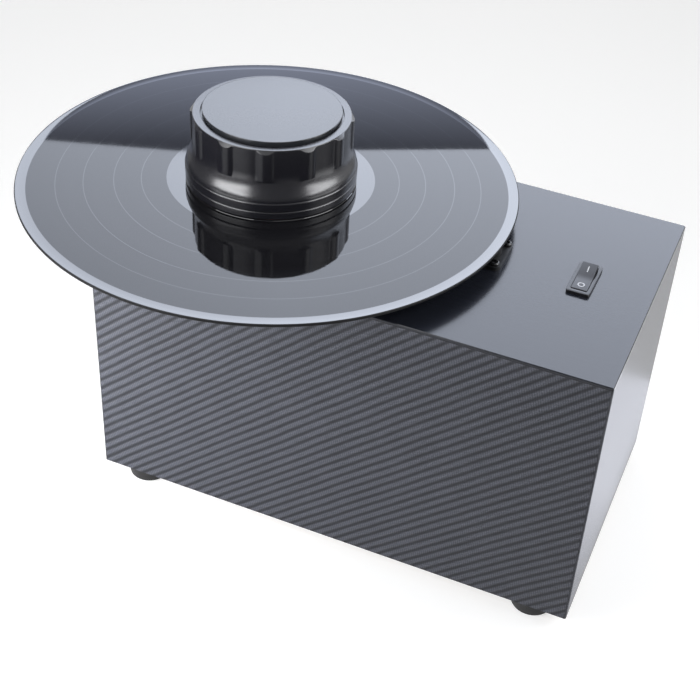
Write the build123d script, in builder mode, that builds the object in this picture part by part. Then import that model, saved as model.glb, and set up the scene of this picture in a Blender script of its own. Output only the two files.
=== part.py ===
from build123d import *
import os
from math import cos, radians, sin, tan

# Record cleaning machine with a hand turner, a vacuum bar and a waste tank.
# Millimetres, +Z up, +X towards the switch end, +Y towards the sockets at the rear.
# The origin is on the surface that it stands on, under the middle of the whole machine, which
# runs from the record's overhanging edge to the cabinet's far end.

# ---------------------------------------------------------------- driving dimensions
# cabinet
cabinet_length = 314.0
cabinet_depth = 176.0
cabinet_height = 175.0
panel_thickness = 12.0
wrap_thickness = 0.4
corner_radius = 1.2
foot_height = 10.0
foot_diameter = 24.0
foot_inset_x = 24.5
foot_inset_y = 15.0
foot_taper = 1.0
foot_web = 5.0
foot_edge_radius = 1.2
plate_thickness = 2.0
plate_edge_chamfer = 0.4

# small edges
edge_break = 0.5
edge_round = 0.8

# fits
slide_fit = 0.1
running_fit = 0.05
ball_fit = 0.02
cutout_fit = 0.2

# screws: button heads hold the metal parts, pan heads go into the board
button_head_diameter = 5.8
button_head_height = 1.7
button_shank_diameter = 3.0
button_shank_length = 10.0
pan_head_diameter = 8.0
pan_head_height = 2.4
pan_shank_diameter = 4.0
pan_shank_length = 11.0
drive_recess_width = 1.0
drive_recess_depth = 0.8

# record, platter and bearing
record_diameter = 301.5
record_thickness = 1.9
record_lift = 13.0
record_hole_diameter = 7.24
record_relief = 0.2
record_rim_width = 3.5
record_edge_radius = 0.55
label_diameter = 100.0
label_thickness = 0.1
label_step = 1.2
record_offset_x = 83.0
platter_diameter = 98.0
platter_thickness = 5.2
mat_thickness = 1.1
mat_hole_diameter = 13.0
mat_inset = 1.0
spindle_diameter = 10.0
pin_diameter = 7.1
pin_height = 20.0
bearing_flange_diameter = 60.0
bearing_flange_thickness = 2.5
bearing_screw_circle = 48.0
bearing_screw_count = 3
barrel_diameter = 32.0
barrel_length = 42.0
bush_wall = 3.0
bush_length = 12.0
bush_rise = 1.0
thrust_ball_diameter = 6.0
bearing_cap_thickness = 4.0
bearing_cap_boss = 3.0
ball_pocket_depth = 1.0

# hand turner, heights counted from the top of the record
turner_base_bottom = 0.8
turner_base_top = 5.4
turner_base_diameter = 103.0
turner_groove = 0.8
turner_band_top = 10.6
turner_band_proud = 0.2
turner_band_edge = 0.6
turner_bell_inset = 0.5
turner_grip_bottom = 28.0
turner_grip_inset = 4.4
turner_bell_fullness = 0.44
turner_rim_height = 44.6
turner_rim_inset = 1.6
turner_wall = 4.5
turner_web_thickness = 3.0
rib_count = 12
rib_width = 10.1
rib_proud = 1.7
rib_bottom = 23.0
rib_phase = 21.7
turner_rim_land = 4.0
cap_gap = 1.0
cap_height = 45.7
cap_seat_depth = 1.6
seal_inset = 2.5
seal_width = 6.0
seal_thickness = 2.0
turner_boss_diameter = 18.0
turner_boss_rise = 1.0
turner_bush_diameter = 12.0
turner_bush_length = 21.0
weight_gap = 2.0
weight_bore_gap = 3.0
weight_height = 12.0
turner_pillar_diameter = 11.0
turner_pillar_inset = 2.8
turner_pillar_height = 20.0
turner_screw_count = 3

# vacuum bar and what it feeds
bar_start_radius = 55.0
bar_length = 97.0
bar_flange_width = 31.0
bar_flange_thickness = 2.5
bar_flange_radius = 4.0
bar_ridge_inset = 3.5
bar_ridge_width = 10.0
bar_ridge_height = 9.8
bar_slot_inset = 3.0
bar_slot_width = 2.4
bar_screw_inset_x = 3.6
bar_screw_inset_y = 4.0
velvet_width = 3.2
velvet_inset = 2.0
velvet_gap = 0.3
manifold_gasket_thickness = 1.0
manifold_flange_thickness = 3.0
manifold_depth = 16.0
manifold_wall = 2.0
manifold_inner_width = 14.0
spigot_length = 20.0
spigot_wall = 2.0
hose_wall = 3.0
hose_overlap = 17.0

# waste tank
tank_length = 216.0
tank_width = 120.0
tank_wall = 3.0
tank_corner_radius = 8.0
tank_offset_x = -2.0
tank_offset_y = -4.0
tank_boss_diameter = 10.0
tank_lid_thickness = 4.0

# suction motor
motor_headroom = 4.0
motor_offset_x = 56.0
motor_offset_y = 0.0
fan_diameter = 100.0
fan_height = 26.0
fan_wall = 2.0
fan_inlet_diameter = 32.0
fan_ear_diameter = 12.0
fan_ear_circle = 108.0
fan_ear_angle = 60.0
impeller_diameter = 88.0
impeller_height = 16.0
impeller_blades = 9
impeller_blade_length = 24.6
impeller_blade_circle = 59.8
impeller_blade_angle = 35.0
impeller_hub_diameter = 16.0
impeller_hub_height = 9.6
fan_shaft_gap = 2.0
fan_window_count = 5
fan_window_pitch = 14.0
fan_window_width = 8.0
fan_window_height = 13.0
fan_window_depth = 30.0
frame_diameter = 72.0
frame_height = 54.0
frame_wall = 2.0
frame_window_count = 6
frame_window_width = 18.0
frame_window_height = 9.0
frame_shaft_gap = 1.0
motor_bearing_diameter = 22.0
motor_bearing_width = 7.0
motor_shaft_diameter = 8.0
stator_height = 22.0
stator_bore_diameter = 38.4
stator_rise = 14.0
coil_reach = 4.0
coil_margin = 3.0
coil_split_width = 26.5
armature_gap = 0.5
armature_slots = 12
armature_slot_depth = 5.2
armature_slot_width = 2.0
commutator_diameter = 20.0
commutator_height = 5.5
commutator_rise = 1.0
brush_width = 6.0
brush_height = 4.6
brush_length = 15.0
brush_gap = 0.3
holder_wall = 1.2
holder_length = 26.0
holder_gap = 4.0

# rear: drain, mains inlet and exhaust
drain_offset_x = -60.0
drain_rise = 12.0
drain_bore_diameter = 8.0
drain_pipe_diameter = 12.0
drain_spigot_length = 11.0
drain_pipe_gap = 2.0
drain_hose_wall = 2.5
drain_flange_diameter = 26.0
drain_flange_thickness = 3.0
drain_nozzle_diameter = 15.0
drain_nozzle_length = 13.0
drain_cap_wall = 2.4
drain_cap_grips = 14
drain_cap_grip_radius = 0.9
drain_cap_collar = 2.0
inlet_tank_gap = 8.8
inlet_rise = 50.0
inlet_flange_length = 50.0
inlet_flange_height = 23.0
inlet_flange_thickness = 3.0
inlet_flange_radius = 4.0
inlet_body_length = 27.8
inlet_body_height = 20.6
inlet_body_depth = 22.0
inlet_recess_length = 24.6
inlet_recess_height = 16.6
inlet_recess_depth = 17.0
inlet_recess_chamfer = 4.5
inlet_screw_spacing = 40.0
inlet_pin_spacing = 14.0
inlet_pin_offset = 2.0
inlet_pin_width = 4.0
inlet_pin_thickness = 2.0
inlet_pin_length = 31.0
inlet_pin_setback = 2.5
vent_offset_x = 20.0
vent_rise = 110.0
vent_length = 74.0
vent_height = 40.0
vent_border = 8.0
vent_corner_radius = 4.0
vent_plate_thickness = 1.5
vent_slot_count = 7
vent_slot_height = 3.0
vent_slot_length = 66.0

# mains switch
switch_inset_x = 40.7
switch_length = 32.0
switch_width = 14.0
switch_bezel_height = 2.0
switch_lip_length = 1.5
switch_lip_width = 1.2
switch_body_depth = 22.0
switch_wall = 0.8
switch_floor = 2.4
switch_corner_radius = 1.2
switch_swing_gap = 1.6
rocker_end_margin = 3.7
rocker_side_margin = 2.3
rocker_angle = 8.0
rocker_pivot_depth = 1.0
rocker_valley = 3.2
rocker_depth = 6.0
rocker_skirt = 1.0
rocker_root_length = 9.84
rocker_pin_diameter = 3.0
terminal_width = 6.3
terminal_thickness = 0.8
terminal_length = 9.0
terminal_inner_length = 4.8
terminal_spacing = 14.0

# inner brackets and leads
bracket_leg = 20.0
bracket_width = 30.0
bracket_thickness = 2.0
bracket_y = 50.0
wire_diameter = 2.2
near_lane_reach = 8.0
far_lane_reach = 14.0
lead_stub = 10.0
lead_drop = 25.0
lead_step = 6.0
lead_bend_radius = 3.5
lead_tight_radius = 2.5

# ---------------------------------------------------------------- levels and faces
outer_x = cabinet_length / 2
outer_y = cabinet_depth / 2
panel_x = outer_x - wrap_thickness
panel_y = outer_y - wrap_thickness
inner_x = panel_x - panel_thickness
inner_y = panel_y - panel_thickness
inner_corner_radius = corner_radius - wrap_thickness
base_z = foot_height
board_top = base_z + panel_thickness
cabinet_top = base_z + cabinet_height
plate_top = cabinet_top + plate_thickness
bracket_screw_z = cabinet_top - bracket_leg * 0.6

record_top = plate_top + record_lift
record_bottom = record_top - record_thickness
record_radius = record_diameter / 2
cabinet_x = (record_offset_x + record_radius - outer_x) / 2
label_radius = label_diameter / 2
platter_top = record_bottom - mat_thickness
platter_bottom = platter_top - platter_thickness
platter_x = cabinet_x - record_offset_x

bearing_flange_top = plate_top + bearing_flange_thickness
barrel_bottom = plate_top - barrel_length
bore_diameter = spindle_diameter + 2 * bush_wall

bar_start_x = platter_x + bar_start_radius
bar_x = bar_start_x + bar_length / 2
bar_flange_top = plate_top + bar_flange_thickness
bar_ridge_length = bar_length - 2 * bar_ridge_inset
bar_slot_length = bar_ridge_length - 2 * bar_slot_inset
velvet_length = bar_ridge_length - 2 * velvet_inset
bar_ridge_top = plate_top + bar_ridge_height
bar_screw_dx = bar_length / 2 - bar_screw_inset_x
bar_screw_dy = bar_flange_width / 2 - bar_screw_inset_y
velvet_top = record_bottom + record_relief - velvet_gap

gasket_bottom = cabinet_top - manifold_gasket_thickness
manifold_bottom = cabinet_top - manifold_depth - manifold_gasket_thickness
manifold_inner_length = bar_ridge_length
spigot_inner_radius = manifold_inner_width / 2
spigot_outer_radius = spigot_inner_radius + spigot_wall
hose_x = bar_x - manifold_inner_length / 2 + spigot_inner_radius

frame_top = manifold_bottom - motor_headroom
fan_top = frame_top - frame_height
lid_top = fan_top - fan_height
tank_top = lid_top - tank_lid_thickness
tank_bottom = board_top
tank_height = tank_top - tank_bottom
tank_x = cabinet_x + tank_offset_x
tank_y = tank_offset_y
tank_rear = tank_y + tank_width / 2
tank_right = tank_x + tank_length / 2
motor_x = tank_x + motor_offset_x
motor_y = tank_y + motor_offset_y
tank_boss_x = tank_length / 2 - tank_boss_diameter / 2
tank_boss_y = tank_width / 2 - tank_boss_diameter / 2

impeller_bottom = lid_top + (fan_height - impeller_height) / 2
lower_bearing_z = fan_top
upper_bearing_z = frame_top - motor_bearing_width - frame_wall / 2
stator_bottom = fan_top + stator_rise
stator_top = stator_bottom + stator_height
commutator_bottom = stator_top + coil_reach / 2 + commutator_rise
brush_z = commutator_bottom + commutator_height / 2
holder_start = commutator_diameter / 2 + holder_gap
holder_end = holder_start + holder_length

drain_x = cabinet_x + drain_offset_x
drain_z = tank_bottom + drain_rise
inlet_x = tank_right + inlet_tank_gap
inlet_z = base_z + inlet_rise
vent_x = cabinet_x + vent_offset_x
vent_z = base_z + vent_rise

switch_x = cabinet_x + outer_x - switch_inset_x
switch_body_length = switch_length - 2 * switch_lip_length
switch_body_width = switch_width - 2 * switch_lip_width
rocker_length = switch_length - 2 * rocker_end_margin
rocker_width = switch_width - 2 * rocker_side_margin
bezel_top = plate_top + switch_bezel_height
pivot_z = plate_top - rocker_pivot_depth
switch_bottom = plate_top - switch_body_depth
terminal_bottom = switch_bottom - terminal_length

foot_spots = [
    (cabinet_x + sx * (outer_x - foot_inset_x), sy * (outer_y - foot_inset_y))
    for sx in (-1, 1)
    for sy in (-1, 1)
]
bracket_spots = [
    (side, cabinet_x + side * inner_x, sy * bracket_y) for side in (-1, 1) for sy in (-1, 1)
]
bar_screw_spots = [
    (bar_x + sx * bar_screw_dx, sy * bar_screw_dy) for sx in (-1, 1) for sy in (-1, 1)
]
tank_boss_spots = [
    (tank_x + sx * tank_boss_x, tank_y + sy * tank_boss_y)
    for sx in (-1, 0, 1)
    for sy in (-1, 1)
]
fan_ear_spots = [
    (
        motor_x + fan_ear_circle / 2 * cos(radians(angle)),
        motor_y + fan_ear_circle / 2 * sin(radians(angle)),
    )
    for angle in (fan_ear_angle, 180 - fan_ear_angle, 180 + fan_ear_angle, 360 - fan_ear_angle)
]
bearing_screw_spots = [
    (
        platter_x + bearing_screw_circle / 2 * cos(radians(angle)),
        bearing_screw_circle / 2 * sin(radians(angle)),
    )
    for angle in (i * 360 / bearing_screw_count for i in range(bearing_screw_count))
]
inlet_screw_spots = [
    (inlet_x + sx * inlet_screw_spacing / 2, inlet_z) for sx in (-1, 1)
]
vent_screw_spots = [
    (
        vent_x + sx * (vent_length + vent_border) / 2,
        vent_z + sz * (vent_height + vent_border) / 2,
    )
    for sx in (-1, 1)
    for sz in (-1, 1)
]
turner_screw_angles = [
    rib_phase + i * 360 / turner_screw_count for i in range(turner_screw_count)
]

turntable_axis = Axis((platter_x, 0, 0), (0, 0, 1))
turntable_profile = Plane((platter_x, 0, 0), x_dir=(1, 0, 0), z_dir=(0, -1, 0))
turner_profile = Plane((platter_x, 0, record_top), x_dir=(1, 0, 0), z_dir=(0, -1, 0))
motor_axis = Axis((motor_x, motor_y, 0), (0, 0, 1))
motor_profile = Plane((motor_x, motor_y, 0), x_dir=(1, 0, 0), z_dir=(0, -1, 0))

os.makedirs("parts", exist_ok=True)


def cabinet_level(z):
    """Level plane whose origin is over the middle of the cabinet."""
    return Plane((cabinet_x, 0, z))


def turntable_level(z):
    """Level plane whose origin is on the turntable's axis."""
    return Plane((platter_x, 0, z))


def turner_level(height):
    """Level plane on the turntable's axis, at a height above the record."""
    return turntable_level(record_top + height)


def motor_level(z):
    """Level plane whose origin is on the motor's axis."""
    return Plane((motor_x, motor_y, z))


def rear_plane(y):
    """Upright plane that faces the rear, with world X and Z as its own axes."""
    return Plane((0, y, 0), x_dir=(1, 0, 0), z_dir=(0, -1, 0))


def rear_openings(y, depth):
    """Solids of the openings for vent, mains inlet, drain and screws, forwards from a face."""
    with BuildPart() as openings:
        with BuildSketch(rear_plane(y)):
            with Locations((vent_x, vent_z)):
                Rectangle(vent_length, vent_height)
            with Locations((inlet_x, inlet_z)):
                Rectangle(inlet_body_length + 2 * cutout_fit, inlet_body_height + 2 * cutout_fit)
            with Locations((drain_x, drain_z)):
                Circle(drain_pipe_diameter / 2 + drain_hose_wall + cutout_fit)
            with Locations(*inlet_screw_spots, *vent_screw_spots):
                Circle(button_shank_diameter / 2)
        extrude(amount=depth)
    return openings.part


def round_screw(head_diameter, head_height, shank_diameter, shank_length):
    """Round-headed screw with its head on Z = 0, its shank below and a cross recess."""
    with BuildPart() as screw:
        with BuildSketch():
            Circle(head_diameter / 2)
        extrude(amount=head_height)
        fillet(screw.edges().sort_by(Axis.Z)[-1], head_height * 0.6)
        with BuildSketch(Plane.XY.offset(head_height)):
            Rectangle(head_diameter * 0.55, drive_recess_width)
            Rectangle(drive_recess_width, head_diameter * 0.55)
        extrude(amount=-drive_recess_depth, mode=Mode.SUBTRACT)
        with BuildSketch():
            Circle(shank_diameter / 2)
        extrude(amount=-shank_length)
    return screw.part


def button_screw():
    return round_screw(
        button_head_diameter, button_head_height, button_shank_diameter, button_shank_length
    )


def pan_screw():
    return round_screw(
        pan_head_diameter, pan_head_height, pan_shank_diameter, pan_shank_length
    )


# ---------------------------------------------------------------- cabinet
with BuildPart() as front_panel:
    with BuildSketch(cabinet_level(base_z)):
        with Locations((0, -(inner_y + panel_thickness / 2))):
            Rectangle(2 * panel_x, panel_thickness)
    extrude(amount=cabinet_height)
    fillet(front_panel.edges().filter_by(Axis.Z).group_by(Axis.Y)[0], inner_corner_radius)
front_panel.part.label = "front_panel"
export_step(front_panel.part, "parts/front_panel.step")

with BuildPart() as rear_panel:
    with BuildSketch(cabinet_level(base_z)):
        with Locations((0, inner_y + panel_thickness / 2)):
            Rectangle(2 * panel_x, panel_thickness)
    extrude(amount=cabinet_height)
    fillet(rear_panel.edges().filter_by(Axis.Z).group_by(Axis.Y)[-1], inner_corner_radius)
    add(rear_openings(panel_y, panel_thickness), mode=Mode.SUBTRACT)
rear_panel.part.label = "rear_panel"
export_step(rear_panel.part, "parts/rear_panel.step")


def side_panel(side):
    """End board between the front and rear boards, on side -1 or +1."""
    with BuildPart() as panel:
        with BuildSketch(cabinet_level(base_z)):
            with Locations((side * (inner_x + panel_thickness / 2), 0)):
                Rectangle(panel_thickness, 2 * inner_y)
        extrude(amount=cabinet_height)
        with BuildSketch(Plane.YZ.offset(cabinet_x + side * inner_x)):
            with Locations((-bracket_y, bracket_screw_z), (bracket_y, bracket_screw_z)):
                Circle(pan_shank_diameter / 2)
        extrude(amount=side * (pan_shank_length - bracket_thickness), mode=Mode.SUBTRACT)
    return panel.part


with BuildPart() as left_panel:
    add(side_panel(-1))
left_panel.part.label = "left_panel"
export_step(left_panel.part, "parts/left_panel.step")

with BuildPart() as right_panel:
    add(side_panel(1))
right_panel.part.label = "right_panel"
export_step(right_panel.part, "parts/right_panel.step")

with BuildPart() as base_board:
    with BuildSketch(cabinet_level(base_z)):
        Rectangle(2 * inner_x, 2 * inner_y)
    extrude(amount=panel_thickness)
    with BuildSketch(Plane.XY.offset(base_z)):
        with Locations(*foot_spots):
            Circle(pan_shank_diameter / 2)
    extrude(amount=panel_thickness, mode=Mode.SUBTRACT)
base_board.part.label = "base_board"
export_step(base_board.part, "parts/base_board.step")

# thin vinyl skin round the four walls, cut away at the rear openings
with BuildPart() as vinyl_wrap:
    with BuildSketch(cabinet_level(base_z)):
        RectangleRounded(cabinet_length, cabinet_depth, corner_radius)
        RectangleRounded(2 * panel_x, 2 * panel_y, inner_corner_radius, mode=Mode.SUBTRACT)
    extrude(amount=cabinet_height)
    add(rear_openings(outer_y, wrap_thickness), mode=Mode.SUBTRACT)
vinyl_wrap.part.label = "vinyl_wrap"
export_step(vinyl_wrap.part, "parts/vinyl_wrap.step")

# rubber feet, each counterbored from below for its screw
with BuildPart() as feet:
    with Locations(*foot_spots):
        Cone(
            foot_diameter / 2 - foot_taper,
            foot_diameter / 2,
            foot_height,
            align=(Align.CENTER, Align.CENTER, Align.MIN),
        )
    fillet(feet.edges().group_by(Axis.Z)[0], foot_edge_radius)
    with Locations(*foot_spots):
        Cylinder(
            pan_head_diameter / 2 + cutout_fit,
            foot_height - foot_web,
            align=(Align.CENTER, Align.CENTER, Align.MIN),
            mode=Mode.SUBTRACT,
        )
        Cylinder(
            pan_shank_diameter / 2,
            foot_height,
            align=(Align.CENTER, Align.CENTER, Align.MIN),
            mode=Mode.SUBTRACT,
        )
feet.part.label = "feet"
export_step(feet.part, "parts/feet.step")

with BuildPart() as foot_screws:
    with Locations(*[Location((x, y, foot_height - foot_web), (180, 0, 0)) for x, y in foot_spots]):
        add(pan_screw())
foot_screws.part.label = "foot_screws"
export_step(foot_screws.part, "parts/foot_screws.step")

with BuildPart() as top_plate:
    with BuildSketch(cabinet_level(cabinet_top)):
        RectangleRounded(cabinet_length, cabinet_depth, corner_radius)
    extrude(amount=plate_thickness)
    chamfer(top_plate.faces().sort_by(Axis.Z)[-1].outer_wire().edges(), plate_edge_chamfer)
    with BuildSketch(Plane.XY.offset(cabinet_top)):
        with Locations((platter_x, 0)):
            Circle(barrel_diameter / 2 + cutout_fit)
        with Locations((bar_x, 0)):
            Rectangle(bar_slot_length, bar_ridge_width / 2)
        with Locations((switch_x, 0)):
            Rectangle(switch_body_width + 2 * cutout_fit, switch_body_length + 2 * cutout_fit)
        with Locations(*bar_screw_spots, *bearing_screw_spots):
            Circle(button_shank_diameter / 2)
    extrude(amount=plate_thickness, mode=Mode.SUBTRACT)
top_plate.part.label = "top_plate"
export_step(top_plate.part, "parts/top_plate.step")

# steel angles that hold the plate's underside to the end boards
with BuildPart() as plate_brackets:
    for side, x, y in bracket_spots:
        with BuildSketch(Plane((x, y, cabinet_top), x_dir=(-side, 0, 0), z_dir=(0, side, 0))):
            with Locations((bracket_thickness / 2, -bracket_leg / 2)):
                Rectangle(bracket_thickness, bracket_leg)
            with Locations((bracket_leg / 2, -bracket_thickness / 2)):
                Rectangle(bracket_leg, bracket_thickness)
        extrude(amount=bracket_width / 2, both=True)
    with Locations(*[Location((x, y, bracket_screw_z), (0, 90, 0)) for side, x, y in bracket_spots]):
        Cylinder(pan_shank_diameter / 2, 3 * bracket_thickness, mode=Mode.SUBTRACT)
plate_brackets.part.label = "plate_brackets"
export_step(plate_brackets.part, "parts/plate_brackets.step")

with BuildPart() as bracket_screws:
    with Locations(
        *[
            Location((x - side * bracket_thickness, y, bracket_screw_z), (0, -90 * side, 0))
            for side, x, y in bracket_spots
        ]
    ):
        add(pan_screw())
bracket_screws.part.label = "bracket_screws"
export_step(bracket_screws.part, "parts/bracket_screws.step")

# ---------------------------------------------------------------- vacuum bar and manifold
with BuildPart() as vacuum_bar:
    with BuildSketch(Plane((bar_x, 0, plate_top))):
        RectangleRounded(bar_length, bar_flange_width, bar_flange_radius)
    extrude(amount=bar_flange_thickness)
    with BuildSketch(Plane((bar_x, 0, plate_top))):
        RectangleRounded(bar_ridge_length, bar_ridge_width, bar_ridge_width / 2 - 0.5)
    extrude(amount=bar_ridge_height)
    with BuildSketch(Plane((bar_x, 0, plate_top))):
        Rectangle(bar_slot_length, bar_slot_width)
        with Locations(*[(x - bar_x, y) for x, y in bar_screw_spots]):
            Circle(button_shank_diameter / 2)
    extrude(amount=bar_ridge_height, mode=Mode.SUBTRACT)
vacuum_bar.part.label = "vacuum_bar"
export_step(vacuum_bar.part, "parts/vacuum_bar.step")

with BuildPart() as velvet_strips:
    with BuildSketch(Plane((bar_x, 0, bar_ridge_top))):
        with Locations(*[(0, s * (bar_slot_width + velvet_width) / 2) for s in (-1, 1)]):
            Rectangle(velvet_length, velvet_width)
    extrude(amount=velvet_top - bar_ridge_top)
velvet_strips.part.label = "velvet_strips"
export_step(velvet_strips.part, "parts/velvet_strips.step")

# one kind of screw holds the bar and the bearing down on the plate
with BuildPart() as plate_screws:
    with Locations(*[(x, y, bar_flange_top) for x, y in bar_screw_spots]):
        add(button_screw())
    with Locations(*[(x, y, bearing_flange_top) for x, y in bearing_screw_spots]):
        add(button_screw())
plate_screws.part.label = "plate_screws"
export_step(plate_screws.part, "parts/plate_screws.step")

with BuildPart() as manifold_gasket:
    with BuildSketch(Plane((bar_x, 0, gasket_bottom))):
        RectangleRounded(bar_length, bar_flange_width, bar_flange_radius)
        Rectangle(manifold_inner_length, manifold_inner_width, mode=Mode.SUBTRACT)
        with Locations(*[(x - bar_x, y) for x, y in bar_screw_spots]):
            Circle(button_shank_diameter / 2, mode=Mode.SUBTRACT)
    extrude(amount=manifold_gasket_thickness)
manifold_gasket.part.label = "manifold_gasket"
export_step(manifold_gasket.part, "parts/manifold_gasket.step")

with BuildPart() as suction_manifold:
    with BuildSketch(Plane((bar_x, 0, gasket_bottom))):
        RectangleRounded(bar_length, bar_flange_width, bar_flange_radius)
    extrude(amount=-manifold_flange_thickness)
    with BuildSketch(Plane((bar_x, 0, gasket_bottom))):
        Rectangle(
            manifold_inner_length + 2 * manifold_wall, manifold_inner_width + 2 * manifold_wall
        )
    extrude(amount=-manifold_depth)
    with BuildSketch(Plane((hose_x, 0, manifold_bottom))):
        Circle(spigot_outer_radius)
    extrude(amount=-spigot_length)
    with BuildSketch(Plane((bar_x, 0, gasket_bottom))):
        Rectangle(manifold_inner_length, manifold_inner_width)
    extrude(amount=-(manifold_depth - manifold_wall), mode=Mode.SUBTRACT)
    with BuildSketch(Plane((hose_x, 0, gasket_bottom))):
        Circle(spigot_inner_radius)
    extrude(amount=-(manifold_depth + spigot_length), mode=Mode.SUBTRACT)
    with BuildSketch(Plane((bar_x, 0, gasket_bottom))):
        with Locations(*[(x - bar_x, y) for x, y in bar_screw_spots]):
            Circle(button_shank_diameter / 2)
    extrude(amount=-manifold_flange_thickness, mode=Mode.SUBTRACT)
suction_manifold.part.label = "suction_manifold"
export_step(suction_manifold.part, "parts/suction_manifold.step")

hose_bottom = lid_top + spigot_length - hose_overlap
hose_top = manifold_bottom - spigot_length + hose_overlap

with BuildPart() as suction_hose:
    with BuildSketch(Plane((hose_x, 0, hose_bottom))):
        Circle(spigot_outer_radius + hose_wall)
        Circle(spigot_outer_radius, mode=Mode.SUBTRACT)
    extrude(amount=hose_top - hose_bottom)
suction_hose.part.label = "suction_hose"
export_step(suction_hose.part, "parts/suction_hose.step")

# ---------------------------------------------------------------- waste tank
with BuildPart() as waste_tank:
    with BuildSketch(Plane((tank_x, tank_y, tank_bottom))):
        RectangleRounded(tank_length, tank_width, tank_corner_radius)
    extrude(amount=tank_height)
    with BuildSketch(Plane((tank_x, tank_y, tank_bottom + tank_wall))):
        RectangleRounded(
            tank_length - 2 * tank_wall, tank_width - 2 * tank_wall, tank_corner_radius - tank_wall
        )
    extrude(amount=tank_height - tank_wall, mode=Mode.SUBTRACT)
    with BuildSketch(Plane.XY.offset(tank_bottom)):
        with Locations(*tank_boss_spots):
            Circle(tank_boss_diameter / 2)
    extrude(amount=tank_height)
    with BuildSketch(Plane.XY.offset(tank_top)):
        with Locations(*tank_boss_spots):
            Circle(button_shank_diameter / 2)
    extrude(amount=-button_shank_length, mode=Mode.SUBTRACT)
    with BuildSketch(rear_plane(tank_rear)):
        with Locations((drain_x, drain_z)):
            Circle(drain_pipe_diameter / 2)
    extrude(amount=-drain_spigot_length)
    with BuildSketch(rear_plane(tank_rear + drain_spigot_length)):
        with Locations((drain_x, drain_z)):
            Circle(drain_bore_diameter / 2)
    extrude(amount=drain_spigot_length + tank_wall, mode=Mode.SUBTRACT)
waste_tank.part.label = "waste_tank"
export_step(waste_tank.part, "parts/waste_tank.step")

with BuildPart() as tank_lid:
    with BuildSketch(Plane((tank_x, tank_y, tank_top))):
        RectangleRounded(tank_length, tank_width, tank_corner_radius)
    extrude(amount=tank_lid_thickness)
    with BuildSketch(Plane((hose_x, 0, lid_top))):
        Circle(spigot_outer_radius)
    extrude(amount=spigot_length)
    with BuildSketch(Plane((hose_x, 0, tank_top))):
        Circle(spigot_inner_radius)
    extrude(amount=tank_lid_thickness + spigot_length, mode=Mode.SUBTRACT)
    with BuildSketch(motor_level(tank_top)):
        Circle(fan_inlet_diameter / 2)
    extrude(amount=tank_lid_thickness, mode=Mode.SUBTRACT)
    with BuildSketch(Plane.XY.offset(tank_top)):
        with Locations(*tank_boss_spots, *fan_ear_spots):
            Circle(button_shank_diameter / 2)
    extrude(amount=tank_lid_thickness, mode=Mode.SUBTRACT)
tank_lid.part.label = "tank_lid"
export_step(tank_lid.part, "parts/tank_lid.step")

with BuildPart() as lid_screws:
    with Locations(*[(x, y, lid_top) for x, y in tank_boss_spots]):
        add(button_screw())
    with Locations(*[(x, y, lid_top + fan_wall) for x, y in fan_ear_spots]):
        add(button_screw())
lid_screws.part.label = "lid_screws"
export_step(lid_screws.part, "parts/lid_screws.step")

# ---------------------------------------------------------------- suction motor
with BuildPart() as fan_housing:
    with BuildSketch(motor_level(lid_top)):
        Circle(fan_diameter / 2)
    extrude(amount=fan_height)
    with BuildSketch(motor_level(lid_top + fan_wall)):
        Circle(fan_diameter / 2 - fan_wall)
    extrude(amount=fan_height - 2 * fan_wall, mode=Mode.SUBTRACT)
    with BuildSketch(Plane.XY.offset(lid_top)):
        with Locations(*fan_ear_spots):
            Circle(fan_ear_diameter / 2)
        with Locations((motor_x, motor_y)):
            Circle(fan_diameter / 2 - fan_wall / 2, mode=Mode.SUBTRACT)
        with Locations(*fan_ear_spots):
            Circle(button_shank_diameter / 2, mode=Mode.SUBTRACT)
    extrude(amount=fan_wall)
    with BuildSketch(motor_level(lid_top)):
        Circle(fan_inlet_diameter / 2)
    extrude(amount=fan_wall, mode=Mode.SUBTRACT)
    with BuildSketch(motor_level(fan_top)):
        Circle(motor_shaft_diameter / 2 + fan_shaft_gap)
    extrude(amount=-fan_wall, mode=Mode.SUBTRACT)
    # exhaust windows in the wall, on the side of the vent
    with BuildSketch(rear_plane(motor_y + fan_diameter / 2)):
        with Locations((motor_x, (lid_top + fan_top) / 2)):
            with GridLocations(fan_window_pitch, 1, fan_window_count, 1):
                Rectangle(fan_window_width, fan_window_height)
    extrude(amount=fan_window_depth, mode=Mode.SUBTRACT)
fan_housing.part.label = "fan_housing"
export_step(fan_housing.part, "parts/fan_housing.step")

with BuildPart() as impeller:
    with BuildSketch(motor_level(impeller_bottom)):
        Circle(impeller_diameter / 2)
        Circle(fan_inlet_diameter / 2, mode=Mode.SUBTRACT)
    extrude(amount=fan_wall / 2)
    with BuildSketch(motor_level(impeller_bottom + impeller_height)):
        Circle(impeller_diameter / 2)
    extrude(amount=-fan_wall)
    with BuildSketch(motor_level(impeller_bottom)):
        with PolarLocations(impeller_blade_circle / 2, impeller_blades):
            Rectangle(impeller_blade_length, fan_wall / 2, rotation=impeller_blade_angle)
    extrude(amount=impeller_height)
    with BuildSketch(motor_level(impeller_bottom + impeller_height)):
        Circle(impeller_hub_diameter / 2)
    extrude(amount=-impeller_hub_height)
    with BuildSketch(motor_level(impeller_bottom + impeller_height)):
        Circle(motor_shaft_diameter / 2)
    extrude(amount=-impeller_height, mode=Mode.SUBTRACT)
impeller.part.label = "impeller"
export_step(impeller.part, "parts/impeller.step")

shaft_bottom = impeller_bottom + impeller_height - impeller_hub_height

with BuildPart() as motor_shaft:
    with BuildSketch(motor_level(shaft_bottom)):
        Circle(motor_shaft_diameter / 2)
    extrude(amount=frame_top - shaft_bottom)
    chamfer(motor_shaft.edges().filter_by(GeomType.CIRCLE), edge_break)
motor_shaft.part.label = "motor_shaft"
export_step(motor_shaft.part, "parts/motor_shaft.step")

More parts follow.
